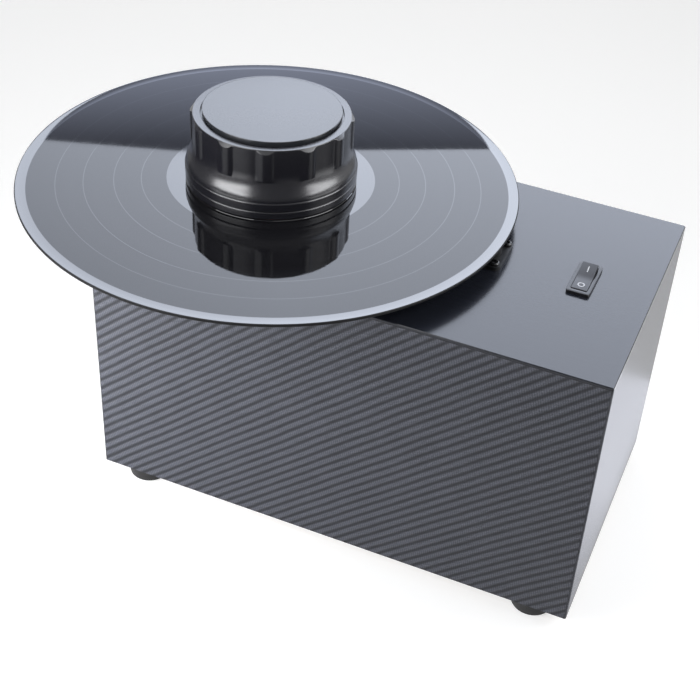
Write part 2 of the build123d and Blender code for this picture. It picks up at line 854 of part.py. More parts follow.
with BuildPart() as motor_frame:
    with BuildSketch(motor_level(fan_top)):
        Circle(frame_diameter / 2)
    extrude(amount=frame_height)
    fillet(motor_frame.edges().sort_by(Axis.Z)[-1], 2 * frame_wall)
    with BuildSketch(motor_level(fan_top + frame_wall)):
        Circle(frame_diameter / 2 - frame_wall)
    extrude(amount=frame_height - 2 * frame_wall, mode=Mode.SUBTRACT)
    # bearing pockets in both ends
    with BuildSketch(motor_level(fan_top)):
        Circle(motor_bearing_diameter / 2 + frame_wall)
    extrude(amount=motor_bearing_width)
    with BuildSketch(motor_level(frame_top - frame_wall)):
        Circle(motor_bearing_diameter / 2 + frame_wall)
    extrude(amount=-motor_bearing_width)
    with BuildSketch(motor_level(fan_top)):
        Circle(motor_bearing_diameter / 2)
    extrude(amount=motor_bearing_width, mode=Mode.SUBTRACT)
    with BuildSketch(motor_level(upper_bearing_z + motor_bearing_width)):
        Circle(motor_bearing_diameter / 2)
    extrude(amount=-(motor_bearing_width + frame_wall / 2), mode=Mode.SUBTRACT)
    with BuildSketch(motor_level(frame_top)):
        Circle(motor_shaft_diameter / 2 + frame_shaft_gap)
    extrude(amount=-frame_wall, mode=Mode.SUBTRACT)
    # cooling windows below the field core
    with BuildSketch(motor_level(fan_top + frame_wall)):
        with PolarLocations(
            frame_diameter / 2, frame_window_count, start_angle=180 / frame_window_count
        ):
            Rectangle(4 * frame_wall, frame_window_width)
    extrude(amount=frame_window_height, mode=Mode.SUBTRACT)
    # sleeves of the two brush holders pass through the wall
    with BuildSketch(Plane.YZ.offset(motor_x)):
        with Locations((motor_y, brush_z)):
            Rectangle(brush_width + 2 * holder_wall, brush_height + 2 * holder_wall)
    extrude(amount=frame_diameter / 2, both=True, mode=Mode.SUBTRACT)
motor_frame.part.label = "motor_frame"
export_step(motor_frame.part, "parts/motor_frame.step")

with BuildPart() as motor_bearings:
    for z in (lower_bearing_z, upper_bearing_z):
        with BuildSketch(motor_level(z)):
            Circle(motor_bearing_diameter / 2)
            Circle(motor_shaft_diameter / 2 + running_fit, mode=Mode.SUBTRACT)
        extrude(amount=motor_bearing_width)
motor_bearings.part.label = "motor_bearings"
export_step(motor_bearings.part, "parts/motor_bearings.step")

coil_inner_radius = stator_bore_diameter / 2 + coil_margin
coil_outer_radius = frame_diameter / 2 - frame_wall - coil_margin


def coil_windows():
    """Sketch the two curved windows that hold the field coils."""
    with BuildSketch(mode=Mode.PRIVATE) as windows:
        Circle(coil_outer_radius)
        Circle(coil_inner_radius, mode=Mode.SUBTRACT)
        Rectangle(2 * coil_outer_radius, coil_split_width, mode=Mode.SUBTRACT)
    return windows.sketch


with BuildPart() as stator_core:
    with BuildSketch(motor_level(stator_bottom)):
        Circle(frame_diameter / 2 - frame_wall)
        Circle(stator_bore_diameter / 2, mode=Mode.SUBTRACT)
        add(coil_windows(), mode=Mode.SUBTRACT)
    extrude(amount=stator_height)
stator_core.part.label = "stator_core"
export_step(stator_core.part, "parts/stator_core.step")

with BuildPart() as stator_coils:
    with BuildSketch(motor_level(stator_bottom - coil_reach / 2)):
        add(coil_windows())
    extrude(amount=stator_height + coil_reach)
    fillet(stator_coils.edges().group_by(Axis.Z)[0], edge_round)
    fillet(stator_coils.edges().group_by(Axis.Z)[-1], edge_round)
stator_coils.part.label = "stator_coils"
export_step(stator_coils.part, "parts/stator_coils.step")

armature_radius = stator_bore_diameter / 2 - armature_gap

with BuildPart() as armature:
    with BuildSketch(motor_level(stator_bottom)):
        Circle(armature_radius)
        Circle(motor_shaft_diameter / 2, mode=Mode.SUBTRACT)
        with PolarLocations(armature_radius - armature_slot_depth / 2, armature_slots):
            Rectangle(2 * armature_slot_depth, armature_slot_width, mode=Mode.SUBTRACT)
    extrude(amount=stator_height)
armature.part.label = "armature"
export_step(armature.part, "parts/armature.step")

with BuildPart() as commutator:
    with BuildSketch(motor_level(commutator_bottom)):
        Circle(commutator_diameter / 2)
        Circle(motor_shaft_diameter / 2, mode=Mode.SUBTRACT)
    extrude(amount=commutator_height)
commutator.part.label = "commutator"
export_step(commutator.part, "parts/commutator.step")

# sleeves that are closed at their outer ends, where the leads arrive
with BuildPart() as brush_holders:
    with BuildSketch(Plane.YZ.offset(motor_x)):
        with Locations((motor_y, brush_z)):
            Rectangle(brush_width + 2 * holder_wall, brush_height + 2 * holder_wall)
    extrude(amount=holder_end, both=True)
    with BuildSketch(Plane.YZ.offset(motor_x)):
        with Locations((motor_y, brush_z)):
            Rectangle(brush_width, brush_height)
    extrude(amount=holder_end - holder_wall, both=True, mode=Mode.SUBTRACT)
    with BuildSketch(motor_level(brush_z)):
        Circle(holder_start)
    extrude(amount=brush_height, both=True, mode=Mode.SUBTRACT)
brush_holders.part.label = "brush_holders"
export_step(brush_holders.part, "parts/brush_holders.step")

with BuildPart() as carbon_brushes:
    with BuildSketch(Plane.YZ.offset(motor_x)):
        with Locations((motor_y, brush_z)):
            Rectangle(brush_width, brush_height)
    extrude(amount=commutator_diameter / 2 + brush_gap + brush_length, both=True)
    with BuildSketch(motor_level(brush_z)):
        Circle(commutator_diameter / 2 + brush_gap)
    extrude(amount=brush_height, both=True, mode=Mode.SUBTRACT)
carbon_brushes.part.label = "carbon_brushes"
export_step(carbon_brushes.part, "parts/carbon_brushes.step")

# ---------------------------------------------------------------- drain
drain_face_y = outer_y + drain_flange_thickness
nozzle_end_y = drain_face_y + drain_nozzle_length
outlet_pipe_start_y = tank_rear + drain_spigot_length + drain_pipe_gap
drain_hose_start_y = tank_rear + drain_pipe_gap
drain_hose_end_y = panel_y - panel_thickness / 2

with BuildPart() as drain_hose:
    with BuildSketch(rear_plane(drain_hose_end_y)):
        with Locations((drain_x, drain_z)):
            Circle(drain_pipe_diameter / 2 + drain_hose_wall)
            Circle(drain_pipe_diameter / 2, mode=Mode.SUBTRACT)
    extrude(amount=drain_hose_end_y - drain_hose_start_y)
drain_hose.part.label = "drain_hose"
export_step(drain_hose.part, "parts/drain_hose.step")

with BuildPart() as drain_outlet:
    with BuildSketch(rear_plane(outer_y)):
        with Locations((drain_x, drain_z)):
            RegularPolygon(drain_flange_diameter / 2, 6)
    extrude(amount=-drain_flange_thickness)
    chamfer(drain_outlet.faces().sort_by(Axis.Y)[-1].edges(), edge_break)
    with BuildSketch(rear_plane(drain_face_y)):
        with Locations((drain_x, drain_z)):
            Circle(drain_nozzle_diameter / 2)
    extrude(amount=-drain_nozzle_length)
    with BuildSketch(rear_plane(outer_y)):
        with Locations((drain_x, drain_z)):
            Circle(drain_pipe_diameter / 2)
    extrude(amount=outer_y - outlet_pipe_start_y)
    with BuildSketch(rear_plane(nozzle_end_y)):
        with Locations((drain_x, drain_z)):
            Circle(drain_bore_diameter / 2)
    extrude(amount=nozzle_end_y - outlet_pipe_start_y, mode=Mode.SUBTRACT)
drain_outlet.part.label = "drain_outlet"
export_step(drain_outlet.part, "parts/drain_outlet.step")

drain_cap_start_y = drain_face_y + running_fit
drain_cap_end_y = nozzle_end_y + running_fit + drain_cap_wall
drain_cap_radius = drain_nozzle_diameter / 2 + slide_fit + drain_cap_wall

with BuildPart() as drain_cap:
    with BuildSketch(rear_plane(drain_cap_end_y)):
        with Locations((drain_x, drain_z)):
            Circle(drain_cap_radius)
    extrude(amount=drain_cap_end_y - drain_cap_start_y)
    chamfer(drain_cap.edges().sort_by(Axis.Y)[-1], edge_round)
    with BuildSketch(rear_plane(drain_cap_start_y)):
        with Locations((drain_x, drain_z)):
            Circle(drain_nozzle_diameter / 2 + slide_fit)
    extrude(amount=-(drain_cap_end_y - drain_cap_start_y - drain_cap_wall), mode=Mode.SUBTRACT)
    with BuildSketch(rear_plane(drain_cap_end_y)):
        with Locations((drain_x, drain_z)):
            with PolarLocations(drain_cap_radius, drain_cap_grips):
                Circle(drain_cap_grip_radius)
    extrude(amount=drain_cap_end_y - drain_cap_start_y - drain_cap_collar, mode=Mode.SUBTRACT)
drain_cap.part.label = "drain_cap"
export_step(drain_cap.part, "parts/drain_cap.step")

# ---------------------------------------------------------------- mains inlet and vent
inlet_face_y = outer_y + inlet_flange_thickness
inlet_pin_spots = [
    (inlet_x - inlet_pin_spacing / 2, inlet_z - inlet_pin_offset),
    (inlet_x, inlet_z + inlet_pin_offset),
    (inlet_x + inlet_pin_spacing / 2, inlet_z - inlet_pin_offset),
]
inlet_pin_end_y = inlet_face_y - inlet_pin_setback

with BuildPart() as power_inlet:
    with BuildSketch(rear_plane(outer_y)):
        with Locations((inlet_x, inlet_z)):
            RectangleRounded(inlet_flange_length, inlet_flange_height, inlet_flange_radius)
    extrude(amount=-inlet_flange_thickness)
    fillet(power_inlet.faces().sort_by(Axis.Y)[-1].edges(), edge_round)
    with BuildSketch(rear_plane(outer_y)):
        with Locations((inlet_x, inlet_z)):
            Rectangle(inlet_body_length, inlet_body_height)
    extrude(amount=inlet_body_depth)
    with BuildSketch(rear_plane(inlet_face_y)):
        with Locations((inlet_x, inlet_z)):
            Rectangle(inlet_recess_length, inlet_recess_height)
    extrude(amount=inlet_recess_depth, mode=Mode.SUBTRACT)
    # the socket's two upper corners are filled in, so that the plug goes in one way only
    with BuildSketch(rear_plane(inlet_face_y)):
        for side in (-1, 1):
            corner_x = inlet_x + side * inlet_recess_length / 2
            corner_z = inlet_z + inlet_recess_height / 2
            with BuildLine():
                Polyline(
                    (corner_x, corner_z),
                    (corner_x - side * inlet_recess_chamfer, corner_z),
                    (corner_x, corner_z - inlet_recess_chamfer),
                    close=True,
                )
            make_face()
    extrude(amount=inlet_recess_depth)
    with BuildSketch(rear_plane(inlet_face_y)):
        with Locations(*inlet_pin_spots):
            Rectangle(inlet_pin_thickness, inlet_pin_width)
        with Locations(*inlet_screw_spots):
            Circle(button_shank_diameter / 2)
    extrude(amount=inlet_body_depth + inlet_flange_thickness, mode=Mode.SUBTRACT)
power_inlet.part.label = "power_inlet"
export_step(power_inlet.part, "parts/power_inlet.step")

with BuildPart() as inlet_pins:
    with BuildSketch(rear_plane(inlet_pin_end_y)):
        with Locations(*inlet_pin_spots):
            Rectangle(inlet_pin_thickness, inlet_pin_width)
    extrude(amount=inlet_pin_length)
inlet_pins.part.label = "inlet_pins"
export_step(inlet_pins.part, "parts/inlet_pins.step")

with BuildPart() as exhaust_grille:
    with BuildSketch(rear_plane(outer_y)):
        with Locations((vent_x, vent_z)):
            RectangleRounded(
                vent_length + 2 * vent_border, vent_height + 2 * vent_border, vent_corner_radius
            )
            with GridLocations(1, vent_height / vent_slot_count, 1, vent_slot_count):
                SlotOverall(vent_slot_length, vent_slot_height, mode=Mode.SUBTRACT)
        with Locations(*vent_screw_spots):
            Circle(button_shank_diameter / 2, mode=Mode.SUBTRACT)
    extrude(amount=-vent_plate_thickness)
exhaust_grille.part.label = "exhaust_grille"
export_step(exhaust_grille.part, "parts/exhaust_grille.step")

with BuildPart() as rear_screws:
    with Locations(*[Location((x, inlet_face_y, z), (-90, 0, 0)) for x, z in inlet_screw_spots]):
        add(button_screw())
    with Locations(
        *[Location((x, outer_y + vent_plate_thickness, z), (-90, 0, 0)) for x, z in vent_screw_spots]
    ):
        add(button_screw())
rear_screws.part.label = "rear_screws"
export_step(rear_screws.part, "parts/rear_screws.step")

# ---------------------------------------------------------------- mains switch
well_length = rocker_length + 4 * slide_fit + switch_swing_gap
well_width = rocker_width + 4 * slide_fit

with BuildPart() as switch_housing:
    with BuildSketch(Plane((switch_x, 0, plate_top))):
        RectangleRounded(switch_width, switch_length, switch_corner_radius)
    extrude(amount=switch_bezel_height)
    fillet(switch_housing.faces().sort_by(Axis.Z)[-1].edges(), edge_break)
    with BuildSketch(Plane((switch_x, 0, plate_top))):
        Rectangle(switch_body_width, switch_body_length)
    extrude(amount=-switch_body_depth)
    with BuildSketch(Plane((switch_x, 0, bezel_top))):
        Rectangle(well_width, well_length)
    extrude(amount=-(switch_bezel_height + switch_body_depth - switch_floor), mode=Mode.SUBTRACT)
    with BuildSketch(Plane.YZ.offset(switch_x)):
        with Locations((0, pivot_z)):
            Circle(rocker_pin_diameter / 2 + running_fit)
    extrude(amount=switch_body_width / 2, both=True, mode=Mode.SUBTRACT)
    with BuildSketch(Plane((switch_x, 0, switch_bottom))):
        with GridLocations(1, terminal_spacing, 1, 2):
            Rectangle(terminal_thickness, terminal_width)
    extrude(amount=switch_floor, mode=Mode.SUBTRACT)
switch_housing.part.label = "switch_housing"
export_step(switch_housing.part, "parts/switch_housing.step")

with BuildPart() as switch_terminals:
    with BuildSketch(Plane((switch_x, 0, terminal_bottom))):
        with GridLocations(1, terminal_spacing, 1, 2):
            Rectangle(terminal_thickness, terminal_width)
    extrude(amount=terminal_length + terminal_inner_length)
switch_terminals.part.label = "switch_terminals"
export_step(switch_terminals.part, "parts/switch_terminals.step")

# the rocker rests with its front half pressed, so its profile is turned about the pivot
with BuildPart() as switch_rocker:
    rocker_plane = Plane(
        (switch_x, 0, pivot_z),
        x_dir=(0, cos(radians(rocker_angle)), sin(radians(rocker_angle))),
        z_dir=(1, 0, 0),
    )
    half = rocker_length / 2
    rocker_end = rocker_valley + half * tan(radians(rocker_angle))
    with BuildSketch(rocker_plane):
        with BuildLine():
            Polyline(
                (-half, rocker_end),
                (0, rocker_valley),
                (half, rocker_end),
                (half, -rocker_skirt),
                (rocker_root_length / 2, -rocker_depth),
                (-rocker_root_length / 2, -rocker_depth),
                (-half, -rocker_skirt),
                close=True,
            )
        make_face()
    extrude(amount=rocker_width / 2, both=True)
    fillet(switch_rocker.edges().filter_by(Axis.X).group_by(Axis.Z)[-1], edge_break)
    with BuildSketch(rocker_plane):
        Circle(rocker_pin_diameter / 2)
    extrude(amount=switch_body_width / 2 - slide_fit, both=True)
switch_rocker.part.label = "switch_rocker"
export_step(switch_rocker.part, "parts/switch_rocker.step")

# ---------------------------------------------------------------- platter bearing
with BuildPart() as bearing_housing:
    with BuildSketch(turntable_level(plate_top)):
        Circle(bearing_flange_diameter / 2)
    extrude(amount=bearing_flange_thickness)
    chamfer(bearing_housing.edges().sort_by(Axis.Z)[-1], edge_break)
    with BuildSketch(turntable_level(plate_top)):
        Circle(barrel_diameter / 2)
    extrude(amount=-barrel_length)
    with BuildSketch(turntable_level(bearing_flange_top)):
        Circle(bore_diameter / 2)
    extrude(amount=-(barrel_length + bearing_flange_thickness), mode=Mode.SUBTRACT)
    with BuildSketch(Plane.XY.offset(bearing_flange_top)):
        with Locations(*bearing_screw_spots):
            Circle(button_shank_diameter / 2)
    extrude(amount=-bearing_flange_thickness, mode=Mode.SUBTRACT)
bearing_housing.part.label = "bearing_housing"
export_step(bearing_housing.part, "parts/bearing_housing.step")

ball_bottom = barrel_bottom + bearing_cap_boss - ball_pocket_depth
ball_top = ball_bottom + thrust_ball_diameter
spindle_bottom = ball_top + ball_fit
lower_bush_bottom = spindle_bottom + bush_rise

with BuildPart() as bearing_cap:
    with BuildSketch(turntable_level(barrel_bottom)):
        Circle(barrel_diameter / 2)
    extrude(amount=-bearing_cap_thickness)
    chamfer(bearing_cap.edges().sort_by(Axis.Z)[0], edge_round)
    with BuildSketch(turntable_level(barrel_bottom)):
        Circle(bore_diameter / 2)
    extrude(amount=bearing_cap_boss)
    with BuildSketch(turntable_level(barrel_bottom + bearing_cap_boss)):
        Circle(thrust_ball_diameter / 2 + running_fit)
    extrude(amount=-ball_pocket_depth, mode=Mode.SUBTRACT)
bearing_cap.part.label = "bearing_cap"
export_step(bearing_cap.part, "parts/bearing_cap.step")

with BuildPart() as thrust_ball:
    with Locations((platter_x, 0, ball_bottom + thrust_ball_diameter / 2)):
        Sphere(thrust_ball_diameter / 2)
thrust_ball.part.label = "thrust_ball"
export_step(thrust_ball.part, "parts/thrust_ball.step")

with BuildPart() as bushes:
    for z in (lower_bush_bottom, bearing_flange_top - bush_length):
        with BuildSketch(turntable_level(z)):
            Circle(bore_diameter / 2)
            Circle(spindle_diameter / 2 + running_fit, mode=Mode.SUBTRACT)
        extrude(amount=bush_length)
bushes.part.label = "bushes"
export_step(bushes.part, "parts/bushes.step")

with BuildPart() as spindle:
    with BuildSketch(turntable_level(spindle_bottom)):
        Circle(spindle_diameter / 2)
    extrude(amount=platter_top - spindle_bottom)
    with BuildSketch(turntable_level(platter_top)):
        Circle(pin_diameter / 2)
    extrude(amount=record_top + pin_height - platter_top)
    chamfer(spindle.edges().sort_by(Axis.Z)[-1], edge_round)
    chamfer(spindle.edges().sort_by(Axis.Z)[0], edge_break)
spindle.part.label = "spindle"
export_step(spindle.part, "parts/spindle.step")

with BuildPart() as platter:
    with BuildSketch(turntable_level(platter_bottom)):
        Circle(platter_diameter / 2)
        Circle(spindle_diameter / 2, mode=Mode.SUBTRACT)
    extrude(amount=platter_thickness)
    fillet(platter.edges().filter_by(GeomType.CIRCLE).sort_by(SortBy.RADIUS)[-2:], edge_round)
platter.part.label = "platter"
export_step(platter.part, "parts/platter.step")

with BuildPart() as platter_mat:
    with BuildSketch(turntable_level(platter_top)):
        Circle(platter_diameter / 2 - mat_inset)
        Circle(mat_hole_diameter / 2, mode=Mode.SUBTRACT)
    extrude(amount=mat_thickness)
platter_mat.part.label = "platter_mat"
export_step(platter_mat.part, "parts/platter_mat.step")

# ---------------------------------------------------------------- record
groove_start = label_radius + label_step
groove_end = record_radius - record_rim_width

with BuildPart() as record:
    with BuildSketch(turntable_level(record_bottom)):
        Circle(record_radius)
        Circle(record_hole_diameter / 2, mode=Mode.SUBTRACT)
    extrude(amount=record_thickness)
    fillet(
        record.edges().filter_by(GeomType.CIRCLE).sort_by(SortBy.RADIUS)[-2:], record_edge_radius
    )
    # grooved bands stand a little lower than the rim and the label, on both sides
    with BuildSketch(turntable_level(record_top), turntable_level(record_bottom + record_relief)):
        Circle(groove_end)
        Circle(groove_start, mode=Mode.SUBTRACT)
    extrude(amount=-record_relief, mode=Mode.SUBTRACT)
    with BuildSketch(turntable_level(record_top), turntable_level(record_bottom + label_thickness)):
        Circle(label_radius)
    extrude(amount=-label_thickness, mode=Mode.SUBTRACT)
record.part.label = "record"
export_step(record.part, "parts/record.step")

with BuildPart() as record_labels:
    with BuildSketch(turntable_level(record_top), turntable_level(record_bottom + label_thickness)):
        Circle(label_radius)
        Circle(record_hole_diameter / 2, mode=Mode.SUBTRACT)
    extrude(amount=-label_thickness)
record_labels.part.label = "record_labels"
export_step(record_labels.part, "parts/record_labels.step")

# ---------------------------------------------------------------- hand turner
turner_base_radius = turner_base_diameter / 2
turner_band_radius = turner_base_radius + turner_band_proud
turner_bell_radius = turner_band_radius - turner_bell_inset
turner_grip_radius = turner_bell_radius - turner_grip_inset
turner_rim_radius = turner_grip_radius - turner_rim_inset
turner_cavity_radius = turner_grip_radius - turner_wall
cap_radius = turner_rim_radius - turner_rim_land
seal_outer_radius = turner_base_radius - seal_inset
seal_inner_radius = seal_outer_radius - seal_width
pillar_circle_radius = turner_cavity_radius - turner_pillar_inset
weight_outer_radius = pillar_circle_radius - turner_pillar_diameter / 2 - weight_gap
weight_inner_radius = turner_boss_diameter / 2 + weight_bore_gap
turner_boss_top = turner_base_bottom + turner_bush_length + turner_boss_rise

with BuildPart() as turner_base:
    with BuildSketch(turner_level(turner_base_bottom)):
        Circle(turner_base_radius)
    extrude(amount=turner_base_top - turner_base_bottom)
    chamfer(turner_base.edges().group_by(Axis.Z)[0], edge_break)
    chamfer(turner_base.edges().group_by(Axis.Z)[-1], turner_groove)
    with BuildSketch(turner_level(turner_base_top)):
        Circle(turner_boss_diameter / 2)
    extrude(amount=turner_boss_top - turner_base_top)
    with BuildSketch(turner_level(turner_base_bottom)):
        Circle(turner_bush_diameter / 2)
    extrude(amount=turner_boss_top - turner_base_bottom, mode=Mode.SUBTRACT)
    with BuildSketch(turner_level(turner_base_bottom)):
        Circle(seal_outer_radius)
        Circle(seal_inner_radius, mode=Mode.SUBTRACT)
    extrude(amount=seal_thickness - turner_base_bottom, mode=Mode.SUBTRACT)
    with BuildSketch(turner_level(turner_base_bottom)):
        with PolarLocations(pillar_circle_radius, turner_screw_count, start_angle=rib_phase):
            Circle(button_head_diameter / 2 + cutout_fit)
    extrude(amount=button_head_height + cutout_fit, mode=Mode.SUBTRACT)
    with BuildSketch(turner_level(turner_base_bottom)):
        with PolarLocations(pillar_circle_radius, turner_screw_count, start_angle=rib_phase):
            Circle(button_shank_diameter / 2)
    extrude(amount=turner_base_top - turner_base_bottom, mode=Mode.SUBTRACT)
turner_base.part.label = "turner_base"
export_step(turner_base.part, "parts/turner_base.step")

with BuildPart() as turner_seal:
    with BuildSketch(turner_level(0)):
        Circle(seal_outer_radius)
        Circle(seal_inner_radius, mode=Mode.SUBTRACT)
    extrude(amount=seal_thickness)
turner_seal.part.label = "turner_seal"
export_step(turner_seal.part, "parts/turner_seal.step")

with BuildPart() as turner_bush:
    with BuildSketch(turner_level(turner_base_bottom)):
        Circle(turner_bush_diameter / 2)
        Circle(pin_diameter / 2 + running_fit, mode=Mode.SUBTRACT)
    extrude(amount=turner_bush_length)
turner_bush.part.label = "turner_bush"
export_step(turner_bush.part, "parts/turner_bush.step")

with BuildPart() as turner_weight:
    with BuildSketch(turner_level(turner_base_top)):
        Circle(weight_outer_radius)
        Circle(weight_inner_radius, mode=Mode.SUBTRACT)
    extrude(amount=weight_height)
    chamfer(turner_weight.edges().group_by(Axis.Z)[-1], edge_round)
turner_weight.part.label = "turner_weight"
export_step(turner_weight.part, "parts/turner_weight.step")

# the chord and height of a rib fix the circle that its rounded back belongs to
rib_sagitta = rib_proud + turner_grip_radius - (turner_grip_radius**2 - (rib_width / 2) ** 2) ** 0.5
rib_radius = ((rib_width / 2) ** 2 + rib_sagitta**2) / (2 * rib_sagitta)
rib_circle = turner_grip_radius + rib_proud - rib_radius
bell_bottom = turner_band_top + turner_band_edge
bell_turn = (turner_grip_bottom - bell_bottom) * turner_bell_fullness

with BuildPart() as turner_body:
    with BuildSketch(turner_level(rib_bottom)):
        Circle(turner_grip_radius)
        with PolarLocations(rib_circle, rib_count, start_angle=rib_phase):
            Circle(rib_radius)
    extrude(amount=turner_rim_height - rib_bottom)
    # one turned bevel runs round the rim and down over the tops of the ribs
    with BuildSketch(turner_profile):
        with BuildLine():
            Polyline(
                (0, turner_rim_height),
                (turner_rim_radius, turner_rim_height),
                (turner_rim_radius + turner_rim_height - rib_bottom, rib_bottom),
                (0, rib_bottom),
                close=True,
            )
        make_face()
    revolve(axis=turntable_axis, mode=Mode.INTERSECT)
    with BuildSketch(turner_profile):
        with BuildLine():
            Polyline(
                (0, turner_base_top),
                (turner_base_radius - turner_groove, turner_base_top),
                (turner_band_radius, turner_base_top + turner_groove),
                (turner_band_radius, turner_band_top),
                (turner_band_radius - turner_band_edge / 2, bell_bottom - turner_band_edge / 4),
                (turner_bell_radius, bell_bottom),
            )
            Bezier(
                (turner_bell_radius, bell_bottom),
                (turner_bell_radius, bell_bottom + bell_turn),
                (turner_grip_radius, turner_grip_bottom - bell_turn),
                (turner_grip_radius, turner_grip_bottom),
            )
            Polyline(
                (turner_grip_radius, turner_grip_bottom),
                (0, turner_grip_bottom),
                (0, turner_base_top),
            )
        make_face()
    revolve(axis=turntable_axis)
    with BuildSketch(turner_level(turner_base_top)):
        Circle(turner_cavity_radius)
    extrude(
        amount=turner_rim_height - cap_seat_depth - turner_web_thickness - turner_base_top,
        mode=Mode.SUBTRACT,
    )
    with BuildSketch(turner_level(turner_rim_height)):
        Circle(cap_radius + cap_gap)
    extrude(amount=-cap_seat_depth, mode=Mode.SUBTRACT)
    with BuildSketch(turner_level(turner_base_top)):
        with PolarLocations(pillar_circle_radius, turner_screw_count, start_angle=rib_phase):
            Circle(turner_pillar_diameter / 2)
    extrude(amount=turner_pillar_height)
    with BuildSketch(turner_level(turner_base_top)):
        with PolarLocations(pillar_circle_radius, turner_screw_count, start_angle=rib_phase):
            Circle(button_shank_diameter / 2)
    extrude(amount=turner_pillar_height / 2, mode=Mode.SUBTRACT)
turner_body.part.label = "turner_body"
export_step(turner_body.part, "parts/turner_body.step")

with BuildPart() as turner_cap:
    with BuildSketch(turner_level(turner_rim_height - cap_seat_depth)):
        Circle(cap_radius)
    extrude(amount=cap_height - turner_rim_height + cap_seat_depth)
    fillet(turner_cap.edges().sort_by(Axis.Z)[-1], edge_break)
turner_cap.part.label = "turner_cap"
export_step(turner_cap.part, "parts/turner_cap.step")

with BuildPart() as turner_screws:
    with Locations(
        *[
            Location(
                (
                    platter_x + pillar_circle_radius * cos(radians(angle)),
                    pillar_circle_radius * sin(radians(angle)),
                    record_top + turner_base_bottom + button_head_height + cutout_fit,
                ),
                (180, 0, 0),
            )
            for angle in turner_screw_angles
        ]
    ):
        add(button_screw())
turner_screws.part.label = "turner_screws"
export_step(turner_screws.part, "parts/turner_screws.step")

# ---------------------------------------------------------------- leads
pin_tail_y = inlet_pin_end_y - inlet_pin_length
near_lane_y = pin_tail_y - near_lane_reach
far_lane_y = pin_tail_y - far_lane_reach
far_lane_z = frame_top + lead_step
holder_right_x = motor_x + holder_end
holder_left_x = motor_x - holder_end
screw_head_x = cabinet_x + inner_x - bracket_thickness - pan_head_height
live_x, live_z = inlet_pin_spots[0]
earth_x, earth_z = inlet_pin_spots[1]
neutral_x, neutral_z = inlet_pin_spots[2]


def lead(route, bend_radius):
    """Round lead along straight runs joined by arcs."""
    start = Vector(*route[0])
    with BuildPart() as wire:
        with BuildLine():
            FilletPolyline(*route, radius=bend_radius)
        with BuildSketch(Plane(start, z_dir=Vector(*route[1]) - start)):
            Circle(wire_diameter / 2)
        sweep()
    return wire.part


with BuildPart() as mains_wires:
    # inlet to switch, switch to motor, and motor back to inlet
    add(
        lead(
            [
                (live_x, pin_tail_y, live_z),
                (live_x, near_lane_y, live_z),
                (live_x, near_lane_y, terminal_bottom - lead_drop),
                (switch_x, terminal_spacing / 2, terminal_bottom - lead_stub),
                (switch_x, terminal_spacing / 2, terminal_bottom),
            ],
            lead_bend_radius,
        )
    )
    add(
        lead(
            [
                (switch_x, -terminal_spacing / 2, terminal_bottom),
                (switch_x, -terminal_spacing / 2, terminal_bottom - lead_stub),
                (switch_x - lead_stub, motor_y, brush_z - lead_step),
                (holder_right_x + lead_step, motor_y, brush_z),
                (holder_right_x, motor_y, brush_z),
            ],
            lead_tight_radius,
        )
    )
    add(
        lead(
            [
                (holder_left_x, motor_y, brush_z),
                (holder_left_x - lead_stub, motor_y, brush_z),
                (holder_left_x - lead_stub, far_lane_y, far_lane_z),
                (neutral_x, far_lane_y, far_lane_z),
                (neutral_x, far_lane_y, neutral_z),
                (neutral_x, pin_tail_y, neutral_z),
            ],
            lead_bend_radius,
        )
    )
mains_wires.part.label = "mains_wires"
export_step(mains_wires.part, "parts/mains_wires.step")

with BuildPart() as earth_lead:
    add(
        lead(
            [
                (earth_x, pin_tail_y, earth_z),
                (earth_x, near_lane_y, earth_z),
                (earth_x, near_lane_y, earth_z + lead_drop),
                (screw_head_x - lead_stub, bracket_y, bracket_screw_z - lead_drop),
                (screw_head_x - lead_stub, bracket_y, bracket_screw_z),
                (screw_head_x, bracket_y, bracket_screw_z),
            ],
            lead_bend_radius,
        )
    )
earth_lead.part.label = "earth_lead"
export_step(earth_lead.part, "parts/earth_lead.step")
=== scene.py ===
from math import cos, pi, radians, sin

import bmesh
import bpy
import numpy as np
from mathutils import Matrix, Vector


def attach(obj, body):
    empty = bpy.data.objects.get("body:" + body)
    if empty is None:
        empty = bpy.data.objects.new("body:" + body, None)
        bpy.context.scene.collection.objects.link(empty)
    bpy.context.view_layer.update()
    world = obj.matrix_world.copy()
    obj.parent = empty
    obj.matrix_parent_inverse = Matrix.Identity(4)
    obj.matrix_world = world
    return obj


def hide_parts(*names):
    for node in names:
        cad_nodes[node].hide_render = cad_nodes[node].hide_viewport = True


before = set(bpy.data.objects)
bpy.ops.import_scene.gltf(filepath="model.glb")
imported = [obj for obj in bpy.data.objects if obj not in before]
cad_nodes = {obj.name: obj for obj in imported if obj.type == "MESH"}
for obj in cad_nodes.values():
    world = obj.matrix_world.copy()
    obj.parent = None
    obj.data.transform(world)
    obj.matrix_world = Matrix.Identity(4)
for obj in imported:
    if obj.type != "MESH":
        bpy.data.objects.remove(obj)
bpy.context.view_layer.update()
MM = 0.001

# ---------------------------------------------------------------- camera
# A long lens stands in front of the machine, to its right and above it, leaning a little.
camera_place = (0.26361350522, -0.6307794954, 0.61484276574)
camera_turn = 0.3268765903757723
camera_rise = 0.6250900199656144
camera_roll = 0.09007695765623948

